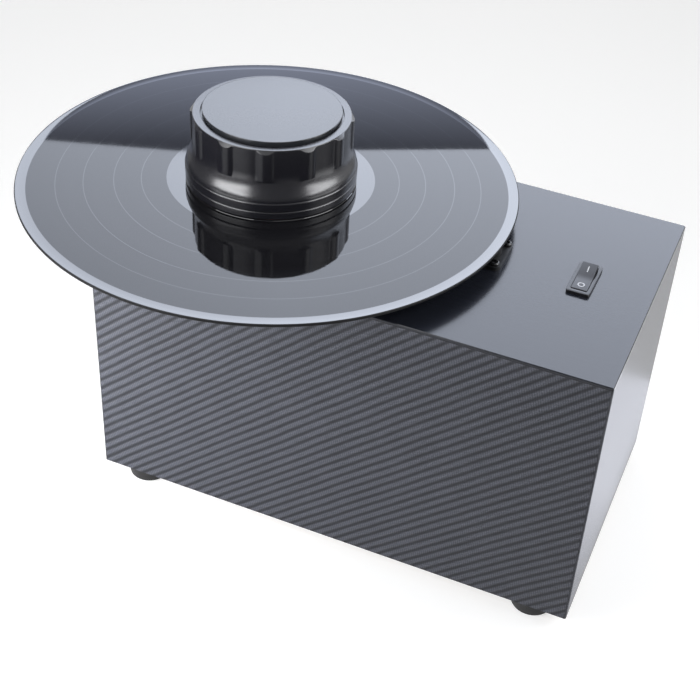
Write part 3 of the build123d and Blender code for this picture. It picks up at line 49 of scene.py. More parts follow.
camera_data = bpy.data.cameras.new("camera")
camera = bpy.data.objects.new("camera", camera_data)
bpy.context.scene.collection.objects.link(camera)
bpy.context.scene.camera = camera
camera_data.sensor_width = 36.0
camera_data.lens = 68.48404494880208
camera_data.shift_x = -0.08274384427196652
camera_data.shift_y = -0.06375912846487154
camera_data.clip_start = 0.01
camera_data.clip_end = 50.0
camera_back = Vector(
    (
        sin(camera_turn) * cos(camera_rise),
        -cos(camera_turn) * cos(camera_rise),
        sin(camera_rise),
    )
)
level_right = Vector((cos(camera_turn), sin(camera_turn), 0.0))
level_up = camera_back.cross(level_right)
camera_right = cos(camera_roll) * level_right + sin(camera_roll) * level_up
camera_up = cos(camera_roll) * level_up - sin(camera_roll) * level_right
camera_axes = Matrix((camera_right, camera_up, camera_back)).transposed()
camera.matrix_world = Matrix.Translation(camera_place) @ camera_axes.to_4x4()
bpy.context.scene.view_settings.view_transform = "Standard"

# ---------------------------------------------------------------- studio
# A plain floor and surroundings, seen as white. Glossy parts mirror a softbox and a dim card
# behind the machine, a card on the floor at its right, dim flags round its front and the glow
# lamps. Wide lamps light the rest, and the floor keeps the shadow.
ambient_level = 0.14
floor_colour = (0.55, 0.55, 0.55, 1.0)
floor_lift = 0.65
floor_reach = 4.0
softbox_colour = (0.9, 0.97, 1.12, 1.0)
softbox_level = 5.2
softbox_y = 0.35
softbox_edge = np.array(
    [(-0.8831, 0.5411), (-0.4674, 0.4605), (-0.3181, 0.4315), (-0.1249, 0.3774), (-0.0067, 0.3439)]
)
softbox_right_edge = np.array([(-0.0067, 0.2796), (0.2966, 0.2796)])
softbox_top = 1.07
softbox_fade = 0.86
softbox_fade_x = -0.2025
card_colour = (0.88, 0.97, 1.25, 1.0)
card_level = (0.55, 2.5)
card_slope = 0.2531
card_edge = 0.3422
card_depth = 0.09
card_reach = 0.092
side_card_outline = ((0.2, -0.2), (0.7, -0.2), (0.7, 0.17), (0.2, 0.17))
side_card_colour = (0.95, 0.97, 1.05, 1.0)
side_card_level = (0.85, 2.0)
side_card_slope = 8.3
side_card_start = 0.67
sheet_rise = 0.001
flag_colour = (1.0, 1.0, 1.0, 1.0)
flag_level = 0.25
flag_x = 1.2
flag_y = -0.9
flag_top = 1.5


def put(tree, kind, inputs=(), **settings):
    """Adds one shader node: settings are its own properties, inputs its sockets by name or
    number, each linked when the value is a socket and otherwise set."""
    made = tree.nodes.new("ShaderNode" + kind)
    for key, value in settings.items():
        setattr(made, key, value)
    for key, value in dict(inputs).items():
        if isinstance(value, bpy.types.NodeSocket):
            tree.links.new(value, made.inputs[key])
        else:
            made.inputs[key].default_value = value
    return made


def calc(tree, operation, *values):
    """Output of one Math node on the given values."""
    return put(tree, "Math", enumerate(values), operation=operation).outputs[0]


def by_ray(tree, seen, spread):
    """The value seen for rays that come from the camera, by a mirror or through glass, and
    spread for the others."""
    path = put(tree, "LightPath").outputs
    bent = calc(tree, "MAXIMUM", path["Is Glossy Ray"], path["Is Transmission Ray"])
    direct = calc(tree, "MAXIMUM", bent, path["Is Camera Ray"])
    return put(tree, "MapRange", {0: direct, 3: spread, 4: seen}).outputs[0]


def flat_sheet(name, corners):
    """One flat polygon through the given corners."""
    mesh = bpy.data.meshes.new(name)
    mesh.from_pydata([tuple(corner) for corner in corners], [], [range(len(corners))])
    sheet = bpy.data.objects.new(name, mesh)
    bpy.context.scene.collection.objects.link(sheet)
    return sheet


def soft_lamp(name, place, target, width, height, level, colour):
    """Area lamp at place, turned to target. Its power gives it that brightness per area."""
    data = bpy.data.lights.new(name, "AREA")
    data.shape = "RECTANGLE"
    data.size = width
    data.size_y = height
    data.energy = level * pi * width * height
    data.color = colour
    lamp = bpy.data.objects.new(name, data)
    bpy.context.scene.collection.objects.link(lamp)
    way = Vector(target) - Vector(place)
    turn = way.to_track_quat("-Z", "Y").to_matrix()
    lamp.matrix_world = Matrix.Translation(place) @ turn.to_4x4()
    lamp.visible_camera = False
    return lamp


world = bpy.data.worlds.new("surroundings")
bpy.context.scene.world = world
world.use_nodes = True
tree = world.node_tree
tree.nodes["Background"].inputs["Color"].default_value = (1.0, 1.0, 1.0, 1.0)
strength = by_ray(tree, 1.0, ambient_level)
tree.links.new(strength, tree.nodes["Background"].inputs["Strength"])

floor_finish = bpy.data.materials.new("floor")
floor_finish.use_nodes = True
tree = floor_finish.node_tree
tree.nodes.clear()
paint = put(tree, "BsdfDiffuse", {"Color": floor_colour})
lift = put(tree, "Emission", {"Strength": by_ray(tree, floor_lift, 0.0)})
both = put(tree, "AddShader", {0: paint.outputs[0], 1: lift.outputs[0]})
put(tree, "OutputMaterial", {0: both.outputs[0]})
floor = flat_sheet(
    "floor",
    [(sx * floor_reach, sy * floor_reach, 0.0) for sx, sy in ((-1, -1), (1, -1), (1, 1), (-1, 1))],
)
floor.data.materials.append(floor_finish)


def glowing_sheet(name, corners, colour, low, high, weights, offset):
    """Flat sheet that only reflections see. Its level runs from low to high as
    weights . (x, y, z) + offset runs from 0 to 1, and stays level beyond."""
    glowing = bpy.data.materials.new(name)
    glowing.use_nodes = True
    tree = glowing.node_tree
    tree.nodes.clear()
    place = put(tree, "TexCoord").outputs["Object"]
    along = put(tree, "VectorMath", {0: place, 1: weights}, operation="DOT_PRODUCT").outputs
    run = calc(tree, "ADD", along["Value"], offset)
    level = put(tree, "MapRange", {0: run, 3: low, 4: high}).outputs[0]
    glow = put(tree, "Emission", {"Color": colour, "Strength": level})
    put(tree, "OutputMaterial", {0: glow.outputs[0]})
    sheet = flat_sheet(name, corners)
    sheet.data.materials.append(glowing)
    sheet.visible_camera = False
    sheet.visible_diffuse = False
    sheet.visible_shadow = False


softbox_left, softbox_right = softbox_edge[0, 0], softbox_right_edge[1, 0]
softbox_outline = np.vstack(
    [softbox_edge, softbox_right_edge, [(softbox_right, softbox_top), (softbox_left, softbox_top)]]
)
card_outline = np.vstack([softbox_edge, softbox_edge[::-1] - (0.0, card_reach)])
glowing_sheet(
    "softbox", [(x, softbox_y, z) for x, z in softbox_outline], softbox_colour,
    softbox_level * (1.0 - softbox_fade), softbox_level, (1.0, 0.0, 0.0), 1.0 - softbox_fade_x,
)
glowing_sheet(
    "card", [(x, softbox_y, z) for x, z in card_outline], card_colour, *card_level,
    (-card_slope / card_depth, 0.0, -1.0 / card_depth), card_edge / card_depth,
)
glowing_sheet(
    "side_card", [(x, y, sheet_rise) for x, y in side_card_outline], side_card_colour,
    *side_card_level, (0.0, side_card_slope, 0.0), side_card_start,
)
for name, (x0, y0), (x1, y1) in (
    ("front_flag", (-flag_x, flag_y), (flag_x, flag_y)),
    ("left_flag", (-flag_x, flag_y), (-flag_x, 0.3)),
    ("right_flag", (flag_x, flag_y), (flag_x, 0.0)),
):
    glowing_sheet(
        name,
        [(x0, y0, sheet_rise), (x1, y1, sheet_rise), (x1, y1, flag_top), (x0, y0, flag_top)],
        flag_colour, flag_level, flag_level, (0.0, 0.0, 0.0), 0.0,
    )

knob_place = (-0.0446, 0.0, 0.215)
lamp_colour = (0.97, 0.98, 1.0)
glow_lamps = [
    soft_lamp("left_glow_low", (-0.265, -0.451, 0.34), knob_place, 0.42, 0.12, 14.3, lamp_colour),
    soft_lamp("left_glow_high", (-0.307, -0.473, 0.66), knob_place, 0.5, 0.45, 3.6, lamp_colour),
    soft_lamp("right_glow_low", (0.56, 0.05, 0.35), knob_place, 0.48, 0.13, 11.0, lamp_colour),
    soft_lamp("right_glow_high", (0.56, 0.07, 0.68), knob_place, 0.42, 0.45, 4.0, lamp_colour),
]
for lamp in glow_lamps:
    lamp.visible_diffuse = False
wide_lamps = [
    soft_lamp("left_lamp", (-0.33, -0.42, 0.34), knob_place, 0.45, 0.4, 4.9, lamp_colour),
    soft_lamp("right_lamp", (0.56, 0.06, 0.5), knob_place, 0.45, 0.4, 4.6, lamp_colour),
    soft_lamp("top_lamp", (-0.2, 0.5, 1.3), (0.04, 0.0, 0.1), 1.0, 1.0, 1.3, lamp_colour),
    soft_lamp(
        "low_lamp", (-0.29, -0.26, 0.1), (-0.02, -0.088, 0.07), 0.16, 0.16, 13.0, lamp_colour
    ),
]
for lamp in wide_lamps:
    lamp.visible_glossy = False


# ---------------------------------------------------------------- cabinet boards
# Five boards of 12 mm medium-density fibreboard, butted and glued into a box. They are bare
# inside and on their cut edges, and the film covers them outside.
board_colour = (0.45, 0.33, 0.22)
board_nodes = ["front_panel", "rear_panel", "left_panel", "right_panel", "base_board"]


def finish(name, colour, roughness, metallic=0.0, grain=900.0, stretch=(1.0, 1.0, 1.0),
           spread=0.12, relief=0.00002, **constants):
    """A surface stirred by one noise of that grain per metre, stretched along the axes: its
    colour and roughness vary by the spread, and its relief is a depth in metres. constants
    are further sockets of the shader, with _ for a space."""
    made = bpy.data.materials.new(name)
    made.use_nodes = True
    tree = made.node_tree
    shader = tree.nodes["Principled BSDF"]
    coords = put(tree, "TexCoord")
    scaled = put(tree, "Mapping", {"Vector": coords.outputs["Object"], "Scale": stretch})
    noise = put(
        tree, "TexNoise", {"Vector": scaled.outputs[0], "Scale": grain, "Detail": 4.0}
    ).outputs["Fac"]
    tone = put(tree, "MapRange", {0: noise, 3: 1.0 - spread, 4: 1.0 + spread}).outputs[0]
    tinted = put(tree, "VectorMath", {0: colour, 3: tone}, operation="SCALE").outputs[0]
    tree.links.new(tinted, shader.inputs["Base Color"])
    worn = calc(tree, "MULTIPLY", tone, roughness)
    tree.links.new(worn, shader.inputs["Roughness"])
    bump = put(tree, "Bump", {"Height": noise, "Distance": relief, "Strength": 1.0})
    tree.links.new(bump.outputs[0], shader.inputs["Normal"])
    shader.inputs["Metallic"].default_value = metallic
    for key, value in constants.items():
        shader.inputs[key.replace("_", " ")].default_value = value
    return made


def dress(material, *names):
    """Gives the CAD nodes of these names the material, in each of their slots."""
    for name in names:
        for place in cad_nodes[name].material_slots:
            place.material = material


board = finish("fibreboard", board_colour, 0.85, grain=1400.0, spread=0.2, relief=0.00006)
dress(board, *board_nodes)

# ---------------------------------------------------------------- vinyl film
# One self-adhesive film wrapped round the four sides and trimmed under the plate. It is satin
# grey vinyl, embossed with diagonal ribs like a woven twill, with fine threads across them.
film_light = (0.094, 0.099, 0.122)
film_dark = (0.014, 0.015, 0.021)
film_pitch = 4.9 * MM
film_angle = radians(41.0)
film_sway = 0.25
film_sway_grain = 22.0
film_thread = 1.45 * MM
film_thread_lean = 0.25
film_thread_depth = 0.17
film_thread_swing = 0.12
film_cloud = 0.24
film_cloud_grain = 55.0
film_relief = 0.10 * MM
film_roughness = 0.34
film_roughness_dip = 0.08
film_ior = 1.38

film = bpy.data.materials.new("woven_film")
film.use_nodes = True
tree = film.node_tree
shader = tree.nodes["Principled BSDF"]
coords = put(tree, "TexCoord").outputs
spot = put(tree, "SeparateXYZ", {0: coords["Object"]}).outputs
facing = put(tree, "SeparateXYZ", {0: coords["Normal"]}).outputs
# distance along each side, counted to the right as one faces it
along = calc(
    tree, "SUBTRACT", calc(tree, "MULTIPLY", spot[1], facing[0]),
    calc(tree, "MULTIPLY", spot[0], facing[1]),
)
sway = put(
    tree, "TexNoise", {"Vector": coords["Object"], "Scale": film_sway_grain, "Detail": 2.0}
).outputs[0]
climb = calc(
    tree, "SUBTRACT", calc(tree, "MULTIPLY", spot[2], cos(film_angle) / film_pitch),
    calc(tree, "MULTIPLY", along, sin(film_angle) / film_pitch),
)
swayed = calc(tree, "MULTIPLY_ADD", sway, film_sway, climb)
wave = calc(tree, "SINE", calc(tree, "MULTIPLY", swayed, 2 * pi))
rib = calc(tree, "MULTIPLY_ADD", wave, 0.5, 0.5)
lean = calc(tree, "MULTIPLY_ADD", spot[2], film_thread_lean, along)
threads = calc(tree, "SINE", calc(tree, "MULTIPLY", lean, 2 * pi / film_thread))
crossing = calc(tree, "MULTIPLY_ADD", wave, film_thread_swing, film_thread_depth)
height = calc(tree, "ADD", rib, calc(tree, "MULTIPLY", threads, crossing))
cloudy = put(
    tree, "TexNoise", {"Vector": coords["Object"], "Scale": film_cloud_grain, "Detail": 3.0}
).outputs[0]
clouds = calc(tree, "MULTIPLY_ADD", cloudy, film_cloud, -film_cloud / 2)
shade = calc(tree, "ADD", height, clouds)
colour = put(
    tree, "Mix", {0: shade, 6: (*film_dark, 1.0), 7: (*film_light, 1.0)}, data_type="RGBA"
).outputs[2]
tree.links.new(colour, shader.inputs["Base Color"])
satin = calc(tree, "MULTIPLY_ADD", rib, -film_roughness_dip, film_roughness)
tree.links.new(satin, shader.inputs["Roughness"])
bump = put(tree, "Bump", {"Height": height, "Distance": film_relief, "Strength": 1.0})
tree.links.new(bump.outputs[0], shader.inputs["Normal"])
shader.inputs["IOR"].default_value = film_ior
dress(film, "vinyl_wrap")

# ---------------------------------------------------------------- feet
# Four moulded black rubber feet, slightly tapered, each held by a pan-head screw that sits up
# in its bore. Their lower edge is rounded, and they carry the cabinet 10 mm off the table.
foot_x = (-94.125 * MM, 170.875 * MM)
foot_y = (-73.0 * MM, 73.0 * MM)
foot_radius = 14.0 * MM
foot_bottom_radius = 13.0 * MM
foot_height = 10.0 * MM
foot_bore = 4.2 * MM
foot_hole = 2.0 * MM
foot_web_level = 5.0 * MM
corner_steps = 6


def softened(corners, reach):
    """A closed line with its corners softened. Corner P gives way to corner_steps points of the
    quadratic curve from the point reach before P to the point reach after P, with P as its
    control point."""
    corners = np.asarray(corners, float)
    reach = np.broadcast_to(np.asarray(reach, float), len(corners))[:, None]
    before = np.roll(corners, 1, axis=0) - corners
    after = np.roll(corners, -1, axis=0) - corners
    start = corners + before / np.linalg.norm(before, axis=1, keepdims=True) * reach
    end = corners + after / np.linalg.norm(after, axis=1, keepdims=True) * reach
    t = np.linspace(0.0, 1.0, corner_steps)[None, :, None]
    curve = (1 - t) ** 2 * start[:, None] + 2 * t * (1 - t) * corners[:, None]
    return (curve + t**2 * end[:, None]).reshape(-1, 2)


def skin(name, grids, material, body, nodes=(), ring_rows=True, ring_columns=True,
         crease=38.0, marks=None):
    """One mesh over one or more grids of points. A grid's rows and columns close on themselves
    where they are rings. Doubled points are merged, so that poles and seams are closed, and
    faces turn outwards. marks gives each row of faces its material number. The piece rides on
    body and stands for the CAD nodes."""
    grids = grids if isinstance(grids, list) else [grids]
    corners, first = [], 0
    for grid in grids:
        rows, columns = grid.shape[:2]
        index = first + np.arange(rows * columns).reshape(rows, columns)
        if ring_rows:
            index = np.vstack([index, index[:1]])
        if ring_columns:
            index = np.hstack([index, index[:, :1]])
        quads = [index[:-1, :-1], index[:-1, 1:], index[1:, 1:], index[1:, :-1]]
        corners.append(np.stack(quads, axis=-1).reshape(-1, 4))
        first += rows * columns
    mesh = bpy.data.meshes.new(name)
    mesh.from_pydata(
        np.concatenate([grid.reshape(-1, 3) for grid in grids]).tolist(), [],
        np.concatenate(corners).tolist(),
    )
    for one in material if isinstance(material, list) else [material]:
        mesh.materials.append(one)
    if marks is not None:
        rows_of_faces = np.repeat(marks, len(mesh.polygons) // len(marks)).astype(np.int32)
        mesh.polygons.foreach_set("material_index", rows_of_faces)
    shell = bmesh.new()
    shell.from_mesh(mesh)
    bmesh.ops.remove_doubles(shell, verts=shell.verts, dist=1e-7)
    bmesh.ops.dissolve_degenerate(shell, edges=shell.edges, dist=1e-8)
    bmesh.ops.recalc_face_normals(shell, faces=shell.faces)
    shell.to_mesh(mesh)
    shell.free()
    mesh.shade_smooth()
    mesh.set_sharp_from_angle(angle=radians(crease))
    piece = bpy.data.objects.new(name, mesh)
    bpy.context.scene.collection.objects.link(piece)
    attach(piece, body)
    if nodes:
        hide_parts(*nodes)
    return piece


def turned(profile, centre, count):
    """Surface of revolution: each profile point (radius, height) goes round the vertical axis
    through centre in count steps."""
    angle = np.linspace(0.0, 2 * pi, count, endpoint=False)[None, :]
    radius, height = profile[:, :1], profile[:, 1:]
    return np.stack(
        [centre[0] + radius * np.cos(angle), centre[1] + radius * np.sin(angle),
         height + 0 * angle], axis=-1,
    )


rubber = finish("rubber", (0.022, 0.022, 0.023), 0.7, grain=2600.0, spread=0.25, relief=0.00003)
foot_profile = softened(
    [
        (foot_bore, 0.0), (foot_bottom_radius, 0.0), (foot_radius, foot_height),
        (foot_hole, foot_height), (foot_hole, foot_web_level), (foot_bore, foot_web_level),
    ],
    np.array([0.5, 1.4, 0.2, 0.1, 0.1, 0.3]) * MM,
)
skin(
    "rubber_feet", [turned(foot_profile, (x, y), 72) for x in foot_x for y in foot_y],
    rubber, "cabinet", ["feet"],
)
zinc = finish(
    "zinc_plate", (0.52, 0.52, 0.5), 0.36, 0.95, grain=700.0, spread=0.15, relief=0.000004
)
dress(zinc, "foot_screws")

# ---------------------------------------------------------------- top plate
# A 2 mm aluminium plate, brushed along its length and anodised black, with its edges broken.
# It lies on the cabinet and hangs on four angle brackets inside.
plate_brush = (9.0, 900.0, 900.0)
anodised = finish(
    "black_anodised", (0.016, 0.018, 0.025), 0.19, grain=3.0, stretch=plate_brush, spread=0.2,
    relief=0.000007, IOR=1.40,
)
dress(anodised, "top_plate")
dress(zinc, "plate_brackets", "bracket_screws")

# ---------------------------------------------------------------- vacuum bar
# A moulded bar screwed to the plate under the record, with a hollow ridge. A slot along the
# ridge draws the fluid off, between two lips of short velvet pile glued to its top.
velvet_x = (15.875 * MM, 101.875 * MM)
velvet_y = 2.8 * MM
velvet_half_width = 1.6 * MM
velvet_base = 196.8 * MM
velvet_height = 1.2 * MM
velvet_tuft = 0.12 * MM
velvet_tuft_from = 0.3
velvet_square = 0.6
velvet_end = 40
velvet_rows = 180
velvet_columns = 28

black_moulding = finish(
    "black_moulding", (0.010, 0.010, 0.011), 0.42, grain=3800.0, spread=0.12, relief=0.000012,
    IOR=1.4,
)
dress(black_moulding, "vacuum_bar")
bright_steel = finish(
    "bright_steel", (0.72, 0.72, 0.73), 0.16, 1.0, grain=1200.0, spread=0.1, relief=0.000002
)
# Near-black steel for the plate screws, kept as dark as the shade under the record that covers
# them: painted shade.
shade_darkened_steel = finish(
    "shade_darkened_steel", (0.012, 0.012, 0.013), 0.24, grain=1200.0, spread=0.1, relief=0.000002,
    IOR=1.45,
)
dress(shade_darkened_steel, "plate_screws")
dress(rubber, "manifold_gasket", "suction_hose")
dark_moulding = finish(
    "dark_moulding", (0.09, 0.09, 0.092), 0.55, grain=2500.0, spread=0.12, relief=0.00002
)
dress(dark_moulding, "suction_manifold")

velvet = finish(
    "velvet", (0.024, 0.024, 0.028), 0.95, grain=3600.0, stretch=(1.0, 1.0, 0.3), spread=0.5,
    relief=0.00012, Sheen_Weight=0.6, Sheen_Roughness=0.4,
)


def signed_power(wave, power):
    """The wave's size raised to the power, with its sign kept."""
    return np.sign(wave) * np.abs(wave) ** power


def pile_strip(centre_y, seed):
    """Crowned strip along X. Round its section, y is a squared-off cosine and z a squared-off
    sine of the angle. It shrinks to a point at both ends, and a seeded draw stirs its top."""
    along = np.linspace(-1.0, 1.0, velvet_rows)[:, None]
    turn = np.linspace(0.0, 2 * pi, velvet_columns, endpoint=False)[None, :]
    swell = np.clip(1 - np.abs(along) ** velvet_end, 0.0, 1.0) ** 0.5
    draws = np.random.default_rng(seed).uniform(-1.0, 0.0, (velvet_rows, velvet_columns))
    tufts = draws * velvet_tuft * (np.sin(turn) > velvet_tuft_from)
    y = centre_y + velvet_half_width * swell * signed_power(np.cos(turn), velvet_square)
    lift = velvet_height / 2 * (1 + signed_power(np.sin(turn), velvet_square) * swell)
    z = velvet_base + lift + tufts * swell
    x = velvet_x[0] + (velvet_x[1] - velvet_x[0]) * (along + 1) / 2
    return np.stack([x + 0 * turn, y, z], axis=-1)


velvet_lips = skin(
    "velvet_lips", [pile_strip(-velvet_y, 3), pile_strip(velvet_y, 4)], velvet, "cabinet",
    ["velvet_strips"], ring_rows=False,
)

# ---------------------------------------------------------------- bearing and platter
# A turned aluminium housing hangs through the plate, with bronze bushes, a steel spindle on a
# ball and a cap below. The spindle carries a turned aluminium platter with a rubber mat.
turned_metal = finish(
    "turned_aluminium", (0.66, 0.67, 0.69), 0.3, 1.0, grain=2.0, stretch=(60.0, 60.0, 1500.0),
    spread=0.12, relief=0.000006,
)
dress(turned_metal, "bearing_housing", "bearing_cap", "platter")
dress(bright_steel, "thrust_ball", "spindle")
bronze = finish(
    "sintered_bronze", (0.5, 0.33, 0.17), 0.45, 0.9, grain=3000.0, spread=0.25, relief=0.00002
)
dress(bronze, "bushes", "turner_bush")
dress(rubber, "platter_mat")

# ---------------------------------------------------------------- record
# A pressed 12-inch record. Its smooth run-out ring and its five tracks, parted by smooth gaps,
# lie a little lower than the label area, and the rim is a bead that rises from them to the edge.
axis_place = (-44.625 * MM, 0.0)
record_top = 200.0 * MM
record_bottom = 198.1 * MM
record_radius = 150.75 * MM
record_hole = 3.62 * MM
record_edge = 0.55 * MM
groove_sink = 0.27 * MM
groove_outer = 144.5 * MM
run_out_outer = 62.8 * MM
run_out_inner = 51.2 * MM
track_gaps = np.array([127.5, 111.4, 93.7, 77.6]) * MM
track_gap_width = 0.5 * MM
step_width = 0.25 * MM
bead_rows = np.linspace(0.0, 1.0, 9)[1:]
label_seat = 0.1 * MM
label_radius = 50.0 * MM

vinyl_colour = (0.010, 0.010, 0.012)
vinyl_roughness = 0.05
groove_roughness = {3: 0.02, 4: 0.05}
groove_shading = {3: 0.6, 4: 1.6}
groove_relief = 0.0000015
groove_ior = 1.385
turn_grain = 900.0
passage_grain = 130.0

grooves = bpy.data.materials.new("pressed_grooves")
grooves.use_nodes = True
tree = grooves.node_tree
shader = tree.nodes["Principled BSDF"]
coords = put(tree, "TexCoord").outputs
centred = put(
    tree, "Mapping",
    {"Vector": coords["Object"], "Location": (-axis_place[0], 0.0, 0.0), "Scale": (1.0, 1.0, 0.0)},
).outputs[0]
reach = put(tree, "VectorMath", {0: centred}, operation="LENGTH").outputs["Value"]
turns = put(
    tree, "TexNoise", {"W": reach, "Scale": turn_grain, "Detail": 6.0}, noise_dimensions="1D"
).outputs[0]
passages = put(
    tree, "TexNoise", {"W": reach, "Scale": passage_grain, "Detail": 3.0}, noise_dimensions="1D"
).outputs[0]
loudness = calc(tree, "MULTIPLY_ADD", passages, 0.6, calc(tree, "MULTIPLY", turns, 0.4))
worn = put(tree, "MapRange", {0: loudness, **groove_roughness}).outputs[0]
tree.links.new(worn, shader.inputs["Roughness"])
tone = put(tree, "MapRange", {0: loudness, **groove_shading}).outputs[0]
tinted = put(tree, "VectorMath", {0: vinyl_colour, 3: tone}, operation="SCALE").outputs[0]
tree.links.new(tinted, shader.inputs["Base Color"])
bump = put(tree, "Bump", {"Height": turns, "Distance": groove_relief, "Strength": 1.0})
tree.links.new(bump.outputs[0], shader.inputs["Normal"])
shader.inputs["IOR"].default_value = groove_ior
smooth_vinyl, gap_vinyl, rim_vinyl = [
    finish(name, vinyl_colour, vinyl_roughness, grain=300.0, spread=0.1, relief=0.0000002, IOR=ior)
    for name, ior in (("smooth_vinyl", 1.62), ("gap_vinyl", 1.50), ("rim_vinyl", 1.78))
]
trimmed_vinyl = finish(
    "trimmed_vinyl", (0.006, 0.006, 0.007), 0.6, grain=900.0, spread=0.1, relief=0.000002,
    IOR=1.3,
)


def record_face(level, inward):
    """Half profile of one face from the hole to the edge, as (radius, height) rows. It is sunk
    inward from level at the label seat and, deeper, from the run-out ring to the last track.
    The rim rises outwards from there with the square of the way across it."""
    gap_edges = np.stack(
        [track_gaps[::-1] - track_gap_width / 2, track_gaps[::-1] + track_gap_width / 2], axis=1
    ).ravel()
    radii = np.concatenate(
        [
            [record_hole, label_radius, label_radius, run_out_inner, run_out_inner + step_width],
            [run_out_outer], gap_edges, [groove_outer - step_width, groove_outer],
            groove_outer + (record_radius - record_edge - groove_outer) * bead_rows,
        ]
    )
    sunk = (radii > run_out_inner) & (radii < groove_outer)
    depth = np.where(sunk, groove_sink, 0.0)
    depth[:2] = label_seat
    depth[-len(bead_rows) - 1 :] = groove_sink * (1.0 - np.append(0.0, bead_rows) ** 2)
    return np.stack([radii, level + inward * depth], axis=1)


top_face = record_face(record_top, -1.0)
bottom_face = record_face(record_bottom, 1.0)
rim_turn = np.linspace(pi / 2, -pi / 2, 13)[1:-1]
rim_half = (record_top - record_bottom) / 2
rim_square = 0.7
rim_curve = np.stack(
    [
        record_radius - record_edge + record_edge * np.cos(rim_turn),
        (record_top + record_bottom) / 2 + rim_half * signed_power(np.sin(rim_turn), rim_square),
    ],
    axis=1,
)
record_profile = np.vstack([top_face, rim_curve, bottom_face[::-1]])
middle = (record_profile[:, 0] + np.roll(record_profile[:, 0], -1)) / 2
in_gap = (np.abs(middle[:, None] - track_gaps) < track_gap_width / 2).any(axis=1)
is_run_out = middle < run_out_outer
is_rim = middle > groove_outer - step_width
is_edge = middle > record_radius - record_edge
skin(
    "grooved_record", turned(record_profile, axis_place, 512),
    [grooves, smooth_vinyl, gap_vinyl, rim_vinyl, trimmed_vinyl], "lp_record", ["record"],
    marks=is_run_out + 2 * in_gap + 3 * is_rim + is_edge, crease=25.0,
)
label_paper = finish(
    "label_paper", (0.42, 0.075, 0.06), 0.75, grain=1800.0, spread=0.1, relief=0.00001
)
dress(label_paper, "record_labels")

# ---------------------------------------------------------------- hand turner
# A weighted knob that drops over the pin and turns the record by hand. It is a black satin
# moulding, a round base with a soft rubber seal below and a ribbed bell above, screwed together,
# with a smooth satin disc let into its top.
rib_count = 12
rib_phase = radians(21.7)
rib_back_radius = 7.449 * MM
rib_back_centre = 41.051 * MM
rib_start = record_top + 23.0 * MM
rib_blend = 0.35 * MM
rib_run_in = 0.5 * MM
rib_hidden = 40.0 * MM
grip_radius = 46.8 * MM
bell_radius = 51.2 * MM
bell_bottom = record_top + 11.2 * MM
grip_bottom = record_top + 28.0 * MM
bell_foot_pull = 5.04 * MM
bell_grip_pull = 10.08 * MM
bevel_sum = 89.8 * MM + record_top
bevel_start = bevel_sum - rib_back_radius - rib_back_centre
rim_level = record_top + 43.3 * MM
rim_radius = 46.5 * MM
rim_break = 0.15 * MM
seat_radius = 42.2 * MM
seat_level = rim_level - 1.6 * MM
seat_break = 0.12 * MM
cap_radius = 41.2 * MM
base_break = 0.5 * MM
cap_level = record_top + 45.7 * MM
cap_support = 0.7 * MM
band_radius = 51.7 * MM
band_top = record_top + 10.6 * MM
band_step = (0.3 * MM, 0.15 * MM)
base_radius = 51.5 * MM
base_level = record_top + 5.4 * MM
base_bottom = record_top + 0.8 * MM
cavity_radius = 42.3 * MM
web_level = seat_level - 3.0 * MM

turner_moulding = finish(
    "turner_moulding", (0.010, 0.010, 0.014), 0.26, grain=2600.0, spread=0.1, relief=0.000004,
    IOR=1.6,
)
cap_disc = finish(
    "satin_cap", (0.030, 0.032, 0.037), 0.14, grain=1500.0, spread=0.1, relief=0.000001, IOR=1.45
)


def bell_curve(t):
    """Cubic curve from the bell's foot to the grip, upright at both ends."""
    t = t[:, None]
    ends = np.array([[bell_radius, bell_bottom], [grip_radius, grip_bottom]])
    pulls = ends + np.array([[0.0, bell_foot_pull], [0.0, -bell_grip_pull]])
    return ((1 - t) ** 3 * ends[0] + 3 * t * (1 - t) ** 2 * pulls[0]
            + 3 * t**2 * (1 - t) * pulls[1] + t**3 * ends[1])


def ribbed(profile, count):
    """The profile turned round the axis, with ribs. A rib's back is a circle about a centre
    off the axis, smoothly joined to the grip by the soft maximum of the two radii, and hidden
    deep inside between the ribs. The bevel at the rim cuts both."""
    angle = np.linspace(0.0, 2 * pi, count, endpoint=False)[None, :]
    pitch = 2 * pi / rib_count
    offset = (angle - rib_phase + pitch / 2) % pitch - pitch / 2
    inside = np.clip(rib_back_radius**2 - (rib_back_centre * np.sin(offset)) ** 2, 0.0, None)
    back = rib_back_centre * np.cos(offset) + np.sqrt(inside) - rib_hidden * (inside == 0.0)
    radius, height = profile[:, :1], profile[:, 1:]
    outer = radius > (grip_radius + rim_radius) / 2
    above = np.clip((height - rib_start) / rib_run_in, 0.0, 1.0)
    raised = above * above * (3 - 2 * above) * outer
    both = (radius + back) / 2 + np.sqrt(((radius - back) / 2) ** 2 + (rib_blend / 2) ** 2)
    wide = radius + (np.maximum(both, radius) - radius) * raised
    wide = np.where(outer, np.minimum(wide, np.maximum(bevel_sum - height, rim_radius)), wide)
    return np.stack(
        [axis_place[0] + wide * np.cos(angle), axis_place[1] + wide * np.sin(angle),
         height + 0 * angle], axis=-1,
    )


